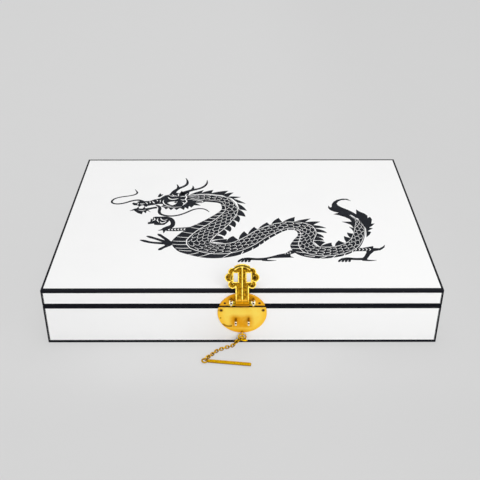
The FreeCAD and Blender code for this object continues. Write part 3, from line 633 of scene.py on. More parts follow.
class Slabs:
    def __init__(self, low):
        self.low, self.points, self.faces, self.made = low, [], [], 0

    def add(self, ring, triangles, high):
        first, count = len(self.points), len(ring)
        high += dragon["layer"] * (self.made % 5)  # so that no two shapes meet in one plane
        self.made += 1
        self.points += [(x * mm, y * mm, self.low) for x, y in ring]
        self.points += [(x * mm, y * mm, self.low + high * mm) for x, y in ring]
        for a, b, c in triangles:
            self.faces.append((first + count + a, first + count + b, first + count + c))
            self.faces.append((first + c, first + b, first + a))
        for i in range(count):
            j = (i + 1) % count
            self.faces.append((first + i, first + j, first + count + j, first + count + i))

    def outline(self, corners, high):
        ring = [tuple(corner) for corner in corners]
        if sum(a[0] * b[1] - b[0] * a[1] for a, b in zip(ring, ring[1:] + ring[:1])) < 0:
            ring.reverse()
        triangles = tessellate_polygon([[Vector((x, y, 0)) for x, y in ring]])
        self.add(ring, [upward(ring, t) for t in triangles], high)

    def band(self, left, right, high):
        count = len(left)
        ring = list(right) + list(reversed(left))
        triangles = []
        for i in range(count - 1):
            near, far = 2 * count - 1 - i, 2 * count - 2 - i
            triangles += [(i, i + 1, far), (i, far, near)]
        self.add(ring, [upward(ring, t) for t in triangles], high)

    def stroke(self, points, high, perSpan=5):  # points are x, y and the stroke's width there
        line = smoothed(points, perSpan)
        left, right = [], []
        for i, (x, y, width) in enumerate(line):
            before, after = line[max(i - 1, 0)], line[min(i + 1, len(line) - 1)]
            run = Vector((after[0] - before[0], after[1] - before[1])).normalized() * width / 2
            left.append((x - run.y, y + run.x))
            right.append((x + run.y, y - run.x))
        self.band(left, right, high)

    def finished(self, name, finish, body, slot):
        mesh = bpy.data.meshes.new(name)
        mesh.from_pydata(self.points, [], self.faces)
        piece = newPiece(name, mesh, finish)
        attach(piece, body)


def upward(ring, triangle):
    a, b, c = (ring[i] for i in triangle)
    area = (b[0] - a[0]) * (c[1] - a[1]) - (b[1] - a[1]) * (c[0] - a[0])
    return tuple(triangle) if area > 0 else tuple(reversed(triangle))


def smoothed(points, perSpan=5):  # a smooth line through the points, with as many values each
    start = tuple(2 * a - b for a, b in zip(points[0], points[1]))
    end = tuple(2 * a - b for a, b in zip(points[-1], points[-2]))
    ends = [start, *points, end]
    line = []
    for before, here, after, beyond in zip(ends, ends[1:], ends[2:], ends[3:]):
        for k in range(perSpan):
            t = k / perSpan
            line.append(tuple(0.5 * (2 * b + (c - a) * t + (2 * a - 5 * b + 4 * c - d) * t * t
                                     + (3 * b - a - 3 * c + d) * t ** 3)
                              for a, b, c, d in zip(before, here, after, beyond)))
    return line + [tuple(points[-1])]


def mixed(a, b, share):
    return tuple(p + (q - p) * share for p, q in zip(a, b))


# the dragon on the lid, in millimetres on the lid's top

dragon = dict(
    # heights over the lid, in the order that the shapes are laid down
    sink=0.02, layer=0.003, spikeInk=0.03, ink=0.05, legInk=0.066, headInk=0.082, line=0.1, pupil=0.116,
    scaleWidth=5.2, scaleLength=5.8, scaleLine=0.52,
    # the back edge's x and y, the belly edge's x and y, and the belly's share of the width
    body=[
        (-60, 44, -57, 30.5, 0.3), (-40, 46, -40, 29.8, 0.26), (-20, 41.5, -25, 27, 0.25),
        (-11, 34.5, -21.5, 21.5, 0.24), (-3.3, 13, -21.5, 12, 0.25), (-7.5, -6, -28.5, 1.5, 0.28),
        (-15.5, -24, -41, -12.5, 0.31), (-24, -38, -56, -27, 0.33), (-29, -48, -67.5, -46, 0.35),
        (-29.5, -50.5, -68.3, -55, 0.36), (-28.5, -52, -64.5, -63.5, 0.35), (-26.5, -53, -57, -71, 0.33),
        (-19.5, -53.5, -33, -80, 0.29), (-9.5, -51.5, -8, -77, 0.25), (2, -42, 12, -63.5, 0.22),
        (16, -27, 28, -44.5, 0.2), (35, -14.8, 43.5, -30.2, 0.18), (55, -12, 53.5, -29.5, 0.18),
        (71, -19, 55.5, -38.5, 0.21), (75.2, -34, 50.5, -48.5, 0.28), (71, -49, 47, -60, 0.34),
        (72, -57.5, 54, -74.5, 0.29), (80.5, -60, 73, -81, 0.22), (93, -58, 94.5, -77, 0.18),
        (104.5, -49.5, 111, -65.5, 0.13), (110, -38, 120, -47, 0.08), (114.2, -21, 124, -26, 0.05),
        (116.2, -9, 120, -10, 0.05), (110.8, 1.2, 111.6, 0.8, 0.05)],
    # the lines between the belly's plates, from the edge inwards
    plates=[
        (-21.7, 22.6, -17.7, 22), (-21.7, 13, -16.7, 12.5), (-24.7, 6, -18.2, 6.5),
        (-29.2, -0.5, -22.2, 0.5), (-33.7, -5, -27.2, -6.4), (-38.7, -11, -30.7, -12.6),
        (-46.7, -18, -35.7, -20.6), (-51.2, -23.6, -39.7, -26.8), (-59.7, -32, -47.7, -35.4),
        (-64.2, -41.5, -51.7, -43), (-67.7, -49.4, -53.7, -50), (-67.7, -55.4, -53.7, -56),
        (-64.2, -62, -51.7, -62.6), (-60.7, -66, -48.7, -67.6), (-52.7, -74.4, -41.7, -70.4),
        (-41.2, -78, -28.7, -71), (-18.2, -79, -9.2, -69.4), (-1.7, -76, 1.3, -68), (8.3, -71, 10.8, -62),
        (15.8, -63.6, 17.7, -55), (22.3, -56.4, 21.9, -49), (28.3, -47.4, 26.9, -41.6),
        (34.7, -38.8, 32.3, -34), (40.9, -32.4, 38.9, -27.6), (46.1, -30.4, 46.3, -26),
        (51.7, -29.6, 53.3, -25.6), (54.9, -29.8, 59.3, -27.6), (54.9, -35, 61.3, -35.5),
        (54.3, -40.6, 60.3, -40.2), (51.9, -45.6, 59.3, -45), (48.9, -51, 57.8, -50.5),
        (47.3, -57.2, 57.3, -57.2), (47.9, -63, 57.8, -63.4), (51.9, -69, 61.3, -71),
        (59.3, -75, 69.3, -77.4), (73.3, -81, 81.3, -76.4), (85.3, -80.4, 89.7, -74.6),
        (95.9, -78, 98.7, -72.6), (104.7, -73, 106.7, -67.6)],
    # each spike's start and end on the back, its tip, and how far its front bulges
    spikes=[
        (-55.6, 45.8, -42.8, 48.2, -41.2, 56, 0.34), (-45.1, 48, -31.8, 48, -30.7, 56.4, 0.34),
        (-34.3, 47.7, -18.6, 44.3, -14.2, 54.4, 0.36), (-20.6, 45.4, -14.3, 40.1, -8.5, 50.2, 0.36),
        (-15.2, 40.8, -7.7, 36.2, -0.3, 39.8, 0.54), (-9.6, 36.7, -3.3, 26.9, 4.7, 25, 0.64),
        (-3.9, 25.4, -1.5, 12.1, 5.5, 10, 0.58), (-2.6, 12.5, -3.8, -0.1, 3.9, -2.4, 0.6),
        (-4, -0.3, -8, -9.8, -3.1, -13.8, 0.88), (-8.5, -10.5, -12.5, -19.1, -7.1, -23.8, 0.88),
        (-13, -20.1, -17.5, -27.4, -11.9, -32.2, 0.86), (-17.8, -28.5, -23.7, -36.9, -17.1, -40.4, 0.86),
        (-24.6, -39.2, -28, -47.8, -17.9, -45.6, 0.54), (-28.8, -49.8, -13.2, -53.2, -14.5, -46, 0.34),
        (-14.6, -52.2, -1.4, -48.8, -8.5, -40, 0.44), (-3, -47.7, 7.4, -37.7, 2.3, -31, 0.44),
        (6.1, -38.8, 17.1, -27.2, 12.5, -22.4, 0.48), (16.4, -28.3, 29.8, -18.7, 25.9, -13.4, 0.48),
        (30.1, -18.4, 42.1, -12.6, 38.1, -4.6, 0.46), (41.4, -13.5, 54.6, -11.9, 55, -2.6, 0.36),
        (54.1, -11.9, 65.1, -13.7, 70.9, -6, 0.34), (64.1, -13.6, 73.3, -19, 80.5, -12.4, 0.36),
        (71.6, -19, 75.6, -25.4, 85.3, -25.2, 0.68), (75.3, -26.5, 75.9, -33.5, 85.1, -34.6, 0.68),
        (74.4, -35, 72.6, -41.4, 81.1, -43.6, 0.68), (72.4, -41.1, 71.2, -48.9, 80.5, -48.9, 0.64),
        (70.9, -49.7, 76.7, -59.7, 81.7, -52, 0.44), (75.8, -59.4, 88.8, -59, 87.7, -52.6, 0.34),
        (90.5, -59.9, 101.5, -52.9, 95.1, -48.6, 0.4), (102.9, -53.6, 109.1, -44.4, 101.2, -40.4, 0.34),
        (107.9, -45, 113.3, -36, 105, -33.6, 0.34)],
)


class Body:  # places on the dragon's body: how far along it, in its own widths, and how far across
    def __init__(self, stations):
        self.sections = smoothed(stations, 6)
        self.reach = [0]
        for a, b in zip(self.sections, self.sections[1:]):
            run = math.hypot(a[0] + a[2] - b[0] - b[2], a[1] + a[3] - b[1] - b[3]) / 2
            width = math.hypot(a[0] - a[2], a[1] - a[3])
            self.reach.append(self.reach[-1] + run / max(width, 2))
        self.length = self.reach[-1]

    def section(self, along):
        along = min(max(along, 0), self.length)
        i = max(k for k, reach in enumerate(self.reach) if reach <= along)
        i = min(i, len(self.reach) - 2)
        share = (along - self.reach[i]) / (self.reach[i + 1] - self.reach[i])
        return mixed(self.sections[i], self.sections[i + 1], share)

    def at(self, along, across):  # 0 is the belly's edge and 1 the back's
        backX, backY, bellyX, bellyY, _ = self.section(along)
        return mixed((bellyX, bellyY), (backX, backY), across)

    def onBack(self, along, across):  # 0 is where the belly's plates end and 1 the back's edge
        share = self.section(along)[4]
        return self.at(along, share + (1 - share) * across)


def lineAlong(slabs, body, across, width, high, steps=150):
    left, right = [], []
    for i in range(steps + 1):
        along = body.length * i / steps
        left.append(body.onBack(along, across + width / 2))
        right.append(body.onBack(along, across - width / 2))
    slabs.band(left, right, high)


def drawBody(ink, lines):
    body = Body(dragon["body"])
    backEdge = [section[0:2] for section in body.sections]
    bellyEdge = [section[2:4] for section in body.sections]
    ink.band(backEdge, bellyEdge, dragon["ink"])
    lineAlong(lines, body, 0.0, 0.042, dragon["line"])
    lineAlong(lines, body, 0.95, 0.038, dragon["line"])
    for startX, startY, endX, endY in dragon["plates"]:  # the lines between the belly's plates
        middle = ((startX + endX) / 2, (startY + endY) / 2 - 0.4)
        lines.stroke([(startX, startY, 0.5), (*middle, 0.7), (endX, endY, 0.8)], dragon["line"], 3)
    drawScales(lines, body)
    for startX, startY, endX, endY, tipX, tipY, bulge in dragon["spikes"]:
        spike(ink, (startX, startY), (endX, endY), (tipX, tipY), dragon["spikeInk"], bulge)


def drawScales(lines, body):  # ring by ring along the body, each ring half a scale off the last
    middles, walked = [body.onBack(body.length * i / 900, 0.5) for i in range(901)], 0
    length, low, high, ring = dragon["scaleLength"], 0.07, 0.93, 0
    for i in range(8, 880):
        walked += math.dist(middles[i - 1], middles[i])
        along = body.length * i / 900
        width = math.dist(body.onBack(along, low), body.onBack(along, high))
        size = min(length, 0.45 * width + 1.4)
        if walked < size:
            continue
        walked, ring = 0, ring + 1
        count = max(2, round(width / dragon["scaleWidth"]))
        reach = size * body.length / 900 / math.dist(middles[i - 1], middles[i])
        for k in range(count + ring % 2):
            middle = (k + 0.5 - 0.5 * (ring % 2)) / count
            across = low + (high - low) * middle
            drawScale(lines, body, along, across, reach, (high - low) / count * 0.5, size)


def drawScale(lines, body, along, across, reach, half, size):
    outer, inner = [], []
    thin = dragon["scaleLine"] / size
    for k in range(9):
        turn = math.pi * (k / 8 - 0.5)
        side = across + half * math.sin(turn)
        if not 0.03 < side < 0.95:
            continue
        outer.append(body.onBack(along + 0.85 * reach * math.cos(turn), side))
        inward = across + half * (1 - 1.1 * thin) * math.sin(turn)
        inner.append(body.onBack(along + (0.85 - thin) * reach * math.cos(turn) - 0.02 * reach, inward))
    if len(outer) > 2:
        lines.band(outer, inner, dragon["line"])


def curve(a, b, c, steps=6):  # from a nearly to c, bending towards b
    return [mixed(mixed(a, b, k / steps), mixed(b, c, k / steps), k / steps) for k in range(steps)]


# a pointed plate that stands on the line from start to end
def spike(ink, start, end, tip, high, bulge=0.16):
    middle, tip = Vector(mixed(start, end, 0.5)), Vector(tip)
    root = 1.2 * (middle - tip).normalized()
    start, end = Vector(start) + root, Vector(end) + root
    front = start.lerp(tip, 0.5) + bulge * (start.lerp(tip, 0.5) - end)
    rear = end.lerp(tip, 0.5) + 0.05 * (start - end)
    start, front, tip, rear, end = (tuple(corner) for corner in (start, front, tip, rear, end))
    ink.outline(curve(start, front, tip) + curve(tip, rear, end) + [end], high)


dragonTail = dict(
    # the tuft on the tail's outer side, and the plume on its inner side
    tuft=[
        (119.3, -4), (118.9, 2), (120.1, 12.8), (123.3, 8), (127.8, 4), (130.1, 0), (129.7, -5),
        (132.5, -2.6), (133.7, -8), (131.7, -16.8), (135.3, -16), (132.3, -20.5), (128.3, -24.4),
        (132.1, -25.6), (128.3, -29), (126.2, -31.2), (129.3, -32.6), (127.3, -37.5), (123.1, -43),
        (124.3, -34), (124.9, -26), (122.8, -18), (120.3, -10)],
    plume=[
        (91.8, 21), (90.9, 16), (92.6, 11.5), (96.3, 8), (101.3, 6), (95.1, 2.8), (100.3, 0.8),
        (106.3, -3), (110.8, -7.5), (112.3, -12.4), (101.9, -12.6), (106.8, -15.5), (110.8, -19),
        (112.8, -25), (108.1, -22.4), (110.6, -27.6), (112.7, -37), (115.7, -28), (117.3, -18),
        (117.9, -9), (114.8, -3), (111.7, 2), (114.3, 0.6), (117.3, -4.6), (119.9, -6), (119.7, 1.6),
        (115.5, 7.4), (111.3, 12), (105.3, 17.2), (102, 21.5), (101.1, 25.5), (103.1, 29.8),
        (106.8, 32.8), (111.3, 33.8), (117.3, 31), (113.3, 35.8), (108.3, 36.2), (102.3, 33.8),
        (98.1, 29.4), (95.7, 24), (95, 18), (93.3, 17)],
)


def drawTail(ink):
    ink.outline(dragonTail["tuft"], dragon["legInk"])
    ink.outline(dragonTail["plume"], dragon["legInk"])


dragonLegs = dict(
    # the raised fore leg: x, y and width along its two halves, its fist and the marks on it
    upperArm=[
        (-48.7, -24, 4), (-56.7, -26.4, 6), (-65.7, -27.6, 6.4), (-75.7, -28, 5)],
    foreArm=[
        (-78.7, -27.6, 6), (-74.2, -24.4, 7), (-70.3, -19.4, 4.8), (-70.5, -12.4, 4.8), (-73.3, -6.6, 5),
        (-78.1, -3.8, 4.4), (-83.7, -3.6, 3.4), (-89.7, -3.4, 3)],
    fist=[
        (-73.2, -6), (-74.7, -12), (-76.7, -15.6), (-78.7, -18.4), (-84.7, -19), (-88.5, -18.4),
        (-89.5, -15.8), (-93.1, -16.8), (-95.5, -17), (-95.7, -13), (-93.5, -12.6), (-93.3, -5.6),
        (-91.7, -8), (-91.1, -2.6), (-86.7, -3.2), (-80.7, -3.4)],
    fistMarks=[
        [(-90.3, -4.6, 0.4), (-89.1, -8, 1.2), (-91.7, -11, 0.4)],
        [(-86.1, -5.6, 0.3), (-86.5, -9.4, 1.2), (-84.5, -13.6, 0.4)],
        [(-83.5, -4.6, 0.3), (-82.3, -8, 1.2), (-79.5, -9.6, 1.1), (-76.3, -7.6, 0.4)],
        [(-83.3, -12, 0.4), (-81.7, -14.6, 1.5), (-78.7, -13.4, 1.2), (-77.3, -10.8, 0.4)]],
    # the fore leg in front of the belly: its palm, and each toe's root, knuckle and tip
    palm=[
        (-67, -51), (-71.5, -48.5), (-75.5, -50.5), (-76.5, -54.5), (-73.5, -59.5), (-70, -59),
        (-67, -55.5)],
    toes=[
        ((-72, -49.5), (-78.5, -41.5), (-83.6, -36)), ((-74, -51.5), (-85, -45), (-94.5, -40)),
        ((-74, -54), (-88, -52.2), (-100.3, -47.4)), ((-72.5, -58), (-76.5, -61.6), (-80.5, -66))],
    # the two hind legs
    thigh=[
        (50, -66), (46, -67), (42, -71.5), (35, -73.8), (27.5, -77.5), (20, -80), (20, -83), (29, -80.2),
        (38, -79.6), (49.6, -79.2), (46.4, -77.2), (46.2, -74), (51, -71)],
    shank=[
        (106, -61.5), (116, -62.5), (127.5, -59), (127, -62.5), (133, -63), (136.5, -60), (139.2, -56.4),
        (138, -61.5), (133.5, -66.4), (127, -68.2), (122.5, -74), (119.6, -79.5), (116.5, -84),
        (113.5, -81), (116.5, -77), (119, -71), (119.5, -68), (106, -68.5)],
    heels=(0, 94.5),
)


def claw(ink, root, knuckle, tip, width):  # one toe and its nail
    nail = mixed(knuckle, tip, 0.65)
    toe = [(*root, width), (*knuckle, width * 0.8), (*nail, width * 0.85), (*tip, 0.25 * width)]
    ink.stroke(toe, dragon["legInk"])


def drawLegs(ink, lines):
    flat, line = dragon["legInk"], dragon["line"]
    ink.stroke(dragonLegs["upperArm"], flat)
    for k in range(6):
        x, top, middle, foot = -57.3 - 3.1 * k, -25.2 - 0.3 * k, -27 - 0.2 * k, -29.2 - 0.1 * k
        lines.stroke([(x + 0.6, top, 0.3), (x - 0.6, middle, 1.3), (x + 0.4, foot, 0.3)], line)
    spike(ink, (-76.1, -30), (-79.7, -29), (-78.3, -35), flat)
    spike(ink, (-78.2, -29), (-78.7, -24.6), (-84.3, -29.6), flat)
    ink.stroke(dragonLegs["foreArm"], flat)
    ink.outline(dragonLegs["fist"], dragon["headInk"])
    for mark in dragonLegs["fistMarks"]:
        lines.stroke(mark, line)
    ink.outline(dragonLegs["palm"], flat)
    for root, knuckle, tip in dragonLegs["toes"]:
        claw(ink, root, knuckle, tip, 4.2)
    ink.outline(dragonLegs["thigh"], flat)
    ink.outline(dragonLegs["shank"], flat)
    for k in range(5):
        x = 109 + 3.4 * k
        lines.stroke([(x, -63, 0.3), (x + 1.3, -65, 0.9), (x, -67.2, 0.3)], line)
    for k in range(3):
        x = 45.5 - 2.4 * k
        lines.stroke([(x, -68.6 - 1.5 * k, 0.2), (x + 1, -71 - k, 0.7), (x, -73, 0.2)], line)
    for heel in dragonLegs["heels"]:  # each hind foot: its sole, the spur behind it and four toes
        sole = [(24, -81.6, 4.4), (14, -82, 3.6), (6, -81.2, 4), (1.5, -81.5, 3)]
        ink.stroke([(heel + x, y, width) for x, y, width in sole], flat)
        ink.stroke([(heel + 19, -83.4, 3), (heel + 26, -84.4, 2), (heel + 32.6, -84, 0.3)], flat)
        for toe in range(4):
            root, knuckle = (heel + 1.5 + 2.6 * toe, -81), (heel - 1.6 + 3 * toe, -83.4)
            claw(ink, root, knuckle, (heel - 3.8 + 3.3 * toe, -87), 2.8)


dragonHead = dict(
    # skull, snout, mane and beard in one, the horn on the snout, and the lower jaw with teeth and chin tuft
    skull=[
        (-109.5, 21.6), (-114.2, 22.2), (-116.5, 25.5), (-115.3, 28), (-111.7, 26.6), (-111.1, 29.8),
        (-107.7, 31.6), (-102.7, 31), (-97.7, 31.6), (-93.7, 34.6), (-90.3, 36), (-87.3, 37.4),
        (-84.7, 41.4), (-82.3, 44), (-78.3, 45.4), (-77.1, 49.6), (-70.7, 49.6), (-67.1, 48.6),
        (-65.3, 54.4), (-63.3, 49.6), (-56.7, 51), (-57.3, 46), (-58.7, 41.6), (-55.7, 38), (-50.3, 36.8),
        (-41.3, 34), (-38.3, 30), (-42.3, 27), (-49.3, 27.4), (-43.3, 21.4), (-50.3, 22), (-52.9, 16.8),
        (-55.7, 20.6), (-56.1, 13.8), (-59.7, 17.6), (-60.5, 11.8), (-64.9, 16.4), (-68.3, 11.8),
        (-71.3, 16.4), (-74.1, 11.6), (-77.1, 16.6), (-79.5, 13), (-81.7, 17.2), (-85.3, 19.6),
        (-83.3, 21.6), (-83.5, 24.8), (-88.7, 24.8), (-92.3, 23), (-96.7, 21.8), (-99.5, 20.6),
        (-100.3, 18.8), (-102.3, 19.4), (-104.1, 22), (-106.3, 21.4), (-108.3, 18.4)],
    horn=[
        (-90.5, 40.2), (-89.9, 44.5), (-88.5, 49), (-86.9, 45.6), (-84.7, 46.2), (-86.3, 42.6),
        (-88.1, 39.8)],
    jaw=[
        (-89.3, 19), (-92.7, 18.4), (-97.3, 16.6), (-101.3, 15.4), (-102.5, 19.6), (-104.1, 15),
        (-107.9, 15.2), (-108.9, 19.4), (-110.3, 15.8), (-113.3, 14.2), (-117.3, 9.8), (-112.9, 11.2),
        (-111.1, 9), (-108.3, 5.6), (-103.7, 3), (-102.9, 9), (-99.7, 5), (-99.3, 10.6), (-94.7, 7.6),
        (-98.1, 11.8), (-93.3, 14.4), (-88.9, 15.6)],
    # x, y and width along each antler and its tine, and along each whisker
    antlers=[
        [(-75, 46, 6), (-73, 53, 5), (-69, 59.6, 3.8), (-63.6, 64.6, 3.4), (-60.4, 70, 3),
         (-60.4, 77, 2.2), (-62.6, 84.4, 0.5)],
        [(-70, 58, 3.4), (-69.8, 63, 2.6), (-71.6, 69.4, 0.5)],
        [(-66, 46.5, 5.6), (-60, 52, 4.6), (-53, 56.2, 3.8), (-46, 59.6, 3.2), (-41, 64.8, 2.8),
         (-38.4, 72, 2), (-38.4, 79.6, 0.5)],
        [(-55, 55, 3.4), (-53.2, 60, 2.6), (-53.8, 66, 0.5)]],
    whiskers=[
        [(-105, 30.6, 3), (-110.5, 33.4, 2.8), (-117, 31.8, 2.6), (-124, 27.4, 2.4), (-131, 25, 2.3),
         (-136.8, 26.6, 2.2), (-138.6, 31, 2.2), (-136, 36.6, 2.1), (-129.6, 40.4, 2),
         (-121.4, 42.8, 2), (-115.2, 46, 2), (-113.6, 50.6, 1.9), (-116.8, 57.6, 0.6)],
        [(-90.7, 22.8, 1.6), (-88.1, 20.4, 2.8), (-86, 16, 3.4), (-86.1, 9, 3.2), (-84.7, 4.2, 3),
         (-81.1, 1.2, 2.8), (-76.3, -0.4, 2.6), (-70.7, -0.4, 2.5), (-65.1, 1.4, 2.4),
         (-59.7, 4.8, 2.3), (-54.7, 9.2, 2.2), (-50.1, 13, 2.1), (-44.7, 14.8, 2), (-39.7, 14, 1.8),
         (-36.3, 11.2, 1.5), (-33.7, 7.4, 0.6)]],
    # bare places: the eye, with the pupil's middle and half sizes, then brow, lips, cheek and mane
    eye=[
        (-79.1, 27.2), (-75.9, 29.6), (-71.7, 30.4), (-68.5, 30.4), (-68.9, 27), (-70.5, 23.8),
        (-73.3, 21.8), (-75.7, 23.2), (-77.7, 25.4)],
    pupil=(-70.3, 28.6, 1.5, 1.6),
    bare=[
        [(-83.3, 33.4, 0.3), (-83.7, 29.4, 1.1), (-81.9, 24.6, 1.1), (-78.1, 21, 1), (-74.1, 19.8, 0.3)],
        [(-79.3, 40.4, 0.3), (-77.7, 36.8, 1.3), (-74.7, 34.8, 1.6), (-71.1, 35.4, 1.6), (-67.9, 37, 0.4)],
        [(-78.7, 43.6, 0.3), (-74.7, 42, 1.1), (-71.7, 42.6, 1.1), (-68.7, 41.4, 0.3)],
        [(-75.3, 46.4, 0.3), (-73.7, 43.4, 1), (-72.9, 41.6, 0.3)],
        [(-67.9, 48.4, 0.3), (-68.5, 44.8, 1.2), (-67.7, 41.4, 0.3)],
        [(-66.1, 40.6, 0.3), (-63.1, 41.6, 1.2), (-60.1, 40.6, 0.3)],
        [(-58.7, 48, 0.3), (-60.7, 44, 1.2), (-59.1, 40, 1.4), (-60.1, 35, 1.3), (-58.5, 30.4, 1.3),
         (-60.3, 25.6, 1.3), (-62.7, 21.4, 0.3)],
        [(-65.3, 34.6, 0.3), (-62.7, 33.2, 1.3), (-60.9, 34.8, 0.3)],
        [(-63.7, 28.8, 0.3), (-61.5, 27.4, 1.1), (-61.9, 24.4, 0.3)],
        [(-48.3, 30.2, 0.3), (-45.3, 31.8, 1.1), (-41.7, 30.8, 1), (-42.1, 28.8, 0.8), (-45.7, 28.6, 0.3)],
        [(-84.1, 20.2, 0.3), (-77.7, 18.4, 0.8), (-70.7, 17.8, 0.8), (-63.3, 18.8, 0.3)],
        [(-57, 43.6, 0.3), (-53.6, 44.4, 1.1), (-49.4, 43.8, 0.3)],
        [(-57.4, 39.8, 0.3), (-53.4, 40.6, 1.1), (-49.6, 40, 0.3)],
        [(-55.4, 36, 0.3), (-52.4, 36.6, 1), (-49.6, 35.8, 0.3)],
        [(-52, 32.6, 0.3), (-48.6, 33.4, 0.9), (-45, 32.6, 0.3)],
        [(-108.3, 25.6, 0.3), (-105.7, 24.6, 1.5), (-103.3, 25.8, 0.3)],
        [(-111.3, 28.8, 0.3), (-109.9, 25.6, 0.8), (-110.5, 22.8, 0.3)],
        [(-102.5, 28.2, 0.3), (-100.7, 26.6, 1.3), (-99.9, 24.6, 0.3)],
        [(-98.5, 30.4, 0.3), (-97.3, 28.6, 1), (-97.5, 26.6, 0.3)],
        [(-95.5, 31, 0.3), (-93.7, 28, 1.5), (-92.3, 26, 0.3)],
        [(-91.5, 34.4, 0.3), (-89.9, 32.4, 1), (-90.3, 30.8, 0.3)],
        [(-87.5, 34, 0.3), (-86.6, 31, 0.7), (-87.1, 28, 0.3)],
        [(-108.3, 11.8, 0.3), (-104.1, 10.6, 0.9), (-100.5, 12.4, 0.3)]],
)


def drawHead(ink, lines, pupils):
    for name in ("skull", "horn", "jaw"):
        ink.outline(dragonHead[name], dragon["headInk"])
    for antler in dragonHead["antlers"]:
        ink.stroke(antler, dragon["headInk"])
    for whisker in dragonHead["whiskers"]:
        ink.stroke(whisker, dragon["ink"])
    lines.outline(dragonHead["eye"], dragon["line"])
    x, y, across, up = dragonHead["pupil"]
    turns = [k * math.pi / 8 for k in range(16)]
    pupil = [(x + across * math.cos(turn), y + up * math.sin(turn)) for turn in turns]
    pupils.outline(pupil, dragon["pupil"])
    for stroke in dragonHead["bare"]:
        lines.stroke(stroke, dragon["line"])


def printDragon():
    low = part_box("lid_top_panel")[1].z - dragon["sink"] * mm
    ink, lines, pupils = Slabs(low), Slabs(low), Slabs(low)
    drawBody(ink, lines)
    drawTail(ink)
    drawLegs(ink, lines)
    drawHead(ink, lines, pupils)
    pupils.finished("dragon_print_pupil", printInkFinish, "lid", "black_lacquer")
    ink.finished("dragon_print", printInkFinish, "lid", "black_lacquer")
    lines.finished("dragon_print_lines", finishes["white_lacquer"], "lid", "white_lacquer")
    print("printed the dragon:", len(ink.faces) + len(lines.faces), "faces")


# studio: a seamless pale floor, an even sky and four soft boxes

studio = dict(
    backdrop=0.658, sky=0.56,  # the sky as it is seen, and as it lights the case
    reach=6, floor=0.64, speckle=0.01,
    # the floor's glow: its share, its grey, and what is added behind, to the right, close by and at the clasp
    lift=0.75, level=0.671, behind=0.036, right=-0.03, closeBy=0.024, beforeClasp=0.065,
    footprint=(-0.004, 0.1365),  # the middle and half the depth of what stands on the floor
    front=-0.13, clasp=-0.03,  # where the glow before the clasp begins, and its middle
    meets=(0.95, 1.35), meetsRound=0.3,  # where the floor runs into the sky, measured from this y
)
softBoxes = {
    "key": dict(place=(0.75, -0.85, 0.95), size=0.7, power=3.2),
    "fill": dict(place=(-1.15, -0.9, 0.95), size=0.8, power=0.4),
    "strip": dict(place=(0.15, -1.5, 0.35), size=1.1, power=8.6),
    "top": dict(place=(0.1, 0.3, 1.5), size=1.2, power=8.7),
}


def addSky():
    world = bpy.data.worlds.new("sky")
    scene.world = world
    world.use_nodes = True
    sky = NodeTree(world.node_tree)
    background = world.node_tree.nodes["Background"]
    ray = sky.node("ShaderNodeLightPath").socket.node
    seen = Wire(sky, ray.outputs["Is Camera Ray"])
    for kind in ("Is Glossy Ray", "Is Transmission Ray"):
        seen = sky.maths("MAXIMUM", seen, Wire(sky, ray.outputs[kind]))
    light, seenLight = (studio["sky"],) * 3, (studio["backdrop"],) * 3
    sky.feed(background.inputs["Color"], sky.mix(light, seenLight, seen))


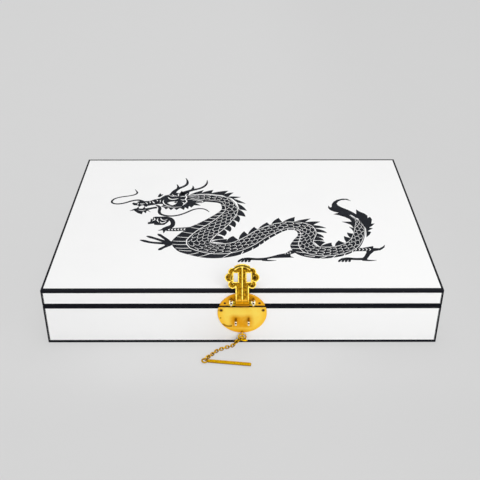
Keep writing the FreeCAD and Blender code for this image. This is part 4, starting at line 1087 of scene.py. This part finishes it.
def addFloor():
    reach = studio["reach"]
    mesh = bpy.data.meshes.new("floor")
    corners = [(-reach, -reach, 0), (reach, -reach, 0), (reach, reach, 0), (-reach, reach, 0)]
    mesh.from_pydata(corners, [], [(0, 1, 2, 3)])
    floor = bpy.data.objects.new("floor", mesh)
    scene.collection.objects.link(floor)
    f = Finish("floor", Specular_IOR_Level=0.0, Roughness=1.0)
    dull, pale = studio["floor"] - studio["speckle"], studio["floor"] + studio["speckle"]
    f.set("Base Color", f.mix((dull,) * 3, (pale,) * 3, f.noise(30, 2)))
    x, y, _ = f.parts(f.place())
    middle, halfDepth = studio["footprint"]
    away = f.maths("MAXIMUM", abs(x) - cadBox[1].x, abs(y - middle) - halfDepth)  # how far from the case
    before = studio["front"] - y
    before = f.ramp(before, -0.01, 0) * (1 - f.ramp(before, 0.01, 0.09))
    beforeClasp = (1 - f.ramp(abs(x - studio["clasp"]), 0.06, 0.17)) * before
    level = studio["level"] + studio["behind"] * y + studio["right"] * f.ramp(x, 0, 0.25)
    level = level + studio["closeBy"] * (1 - f.ramp(away, 0, 0.1)) + studio["beforeClasp"] * beforeClasp
    far = f.ramp(f.distance(x, y - studio["meetsRound"]), *studio["meets"])
    level = level * (1 - far) + studio["backdrop"] * far
    glowColour = f.mix((0, 0, 0), (1, 1, 1), level)
    glow = f.node("ShaderNodeBsdfPrincipled", inputs={
        "Base Color": (0, 0, 0), "Roughness": 1, "Specular IOR Level": 0, "Emission Color": glowColour,
        "Emission Strength": 1})
    ray = f.node("ShaderNodeLightPath").socket.node
    seen = Wire(f, ray.outputs["Is Camera Ray"]) + Wire(f, ray.outputs["Is Glossy Ray"])
    seen = seen + Wire(f, ray.outputs["Is Transmission Ray"])
    both = f.node("ShaderNodeMixShader", inputs={0: seen * (studio["lift"] + (1 - studio["lift"]) * far)})
    f.tree.links.new(f.shader.outputs[0], both.socket.node.inputs[1])
    f.tree.links.new(glow.socket, both.socket.node.inputs[2])
    f.tree.links.new(both.socket, f.tree.nodes["Material Output"].inputs[0])
    mesh.materials.append(f.material)


def addSoftBoxes():
    for name, box in softBoxes.items():
        lamp = bpy.data.lights.new(name, "AREA")
        lamp.size = box["size"]
        lamp.energy = box["power"]
        softBox = bpy.data.objects.new(name, lamp)
        softBox.location = box["place"]
        softBox.rotation_euler = Vector(box["place"]).to_track_quat("Z", "Y").to_euler()
        scene.collection.objects.link(softBox)


addCamera()
addSky()
addFloor()
addSoftBoxes()
print("studio ready")
dressFrame()
castHasp()
paintEdgeLines()
thickenLinks()
curlRingEnd()
printDragon()

scene.view_settings.view_transform = "Standard"
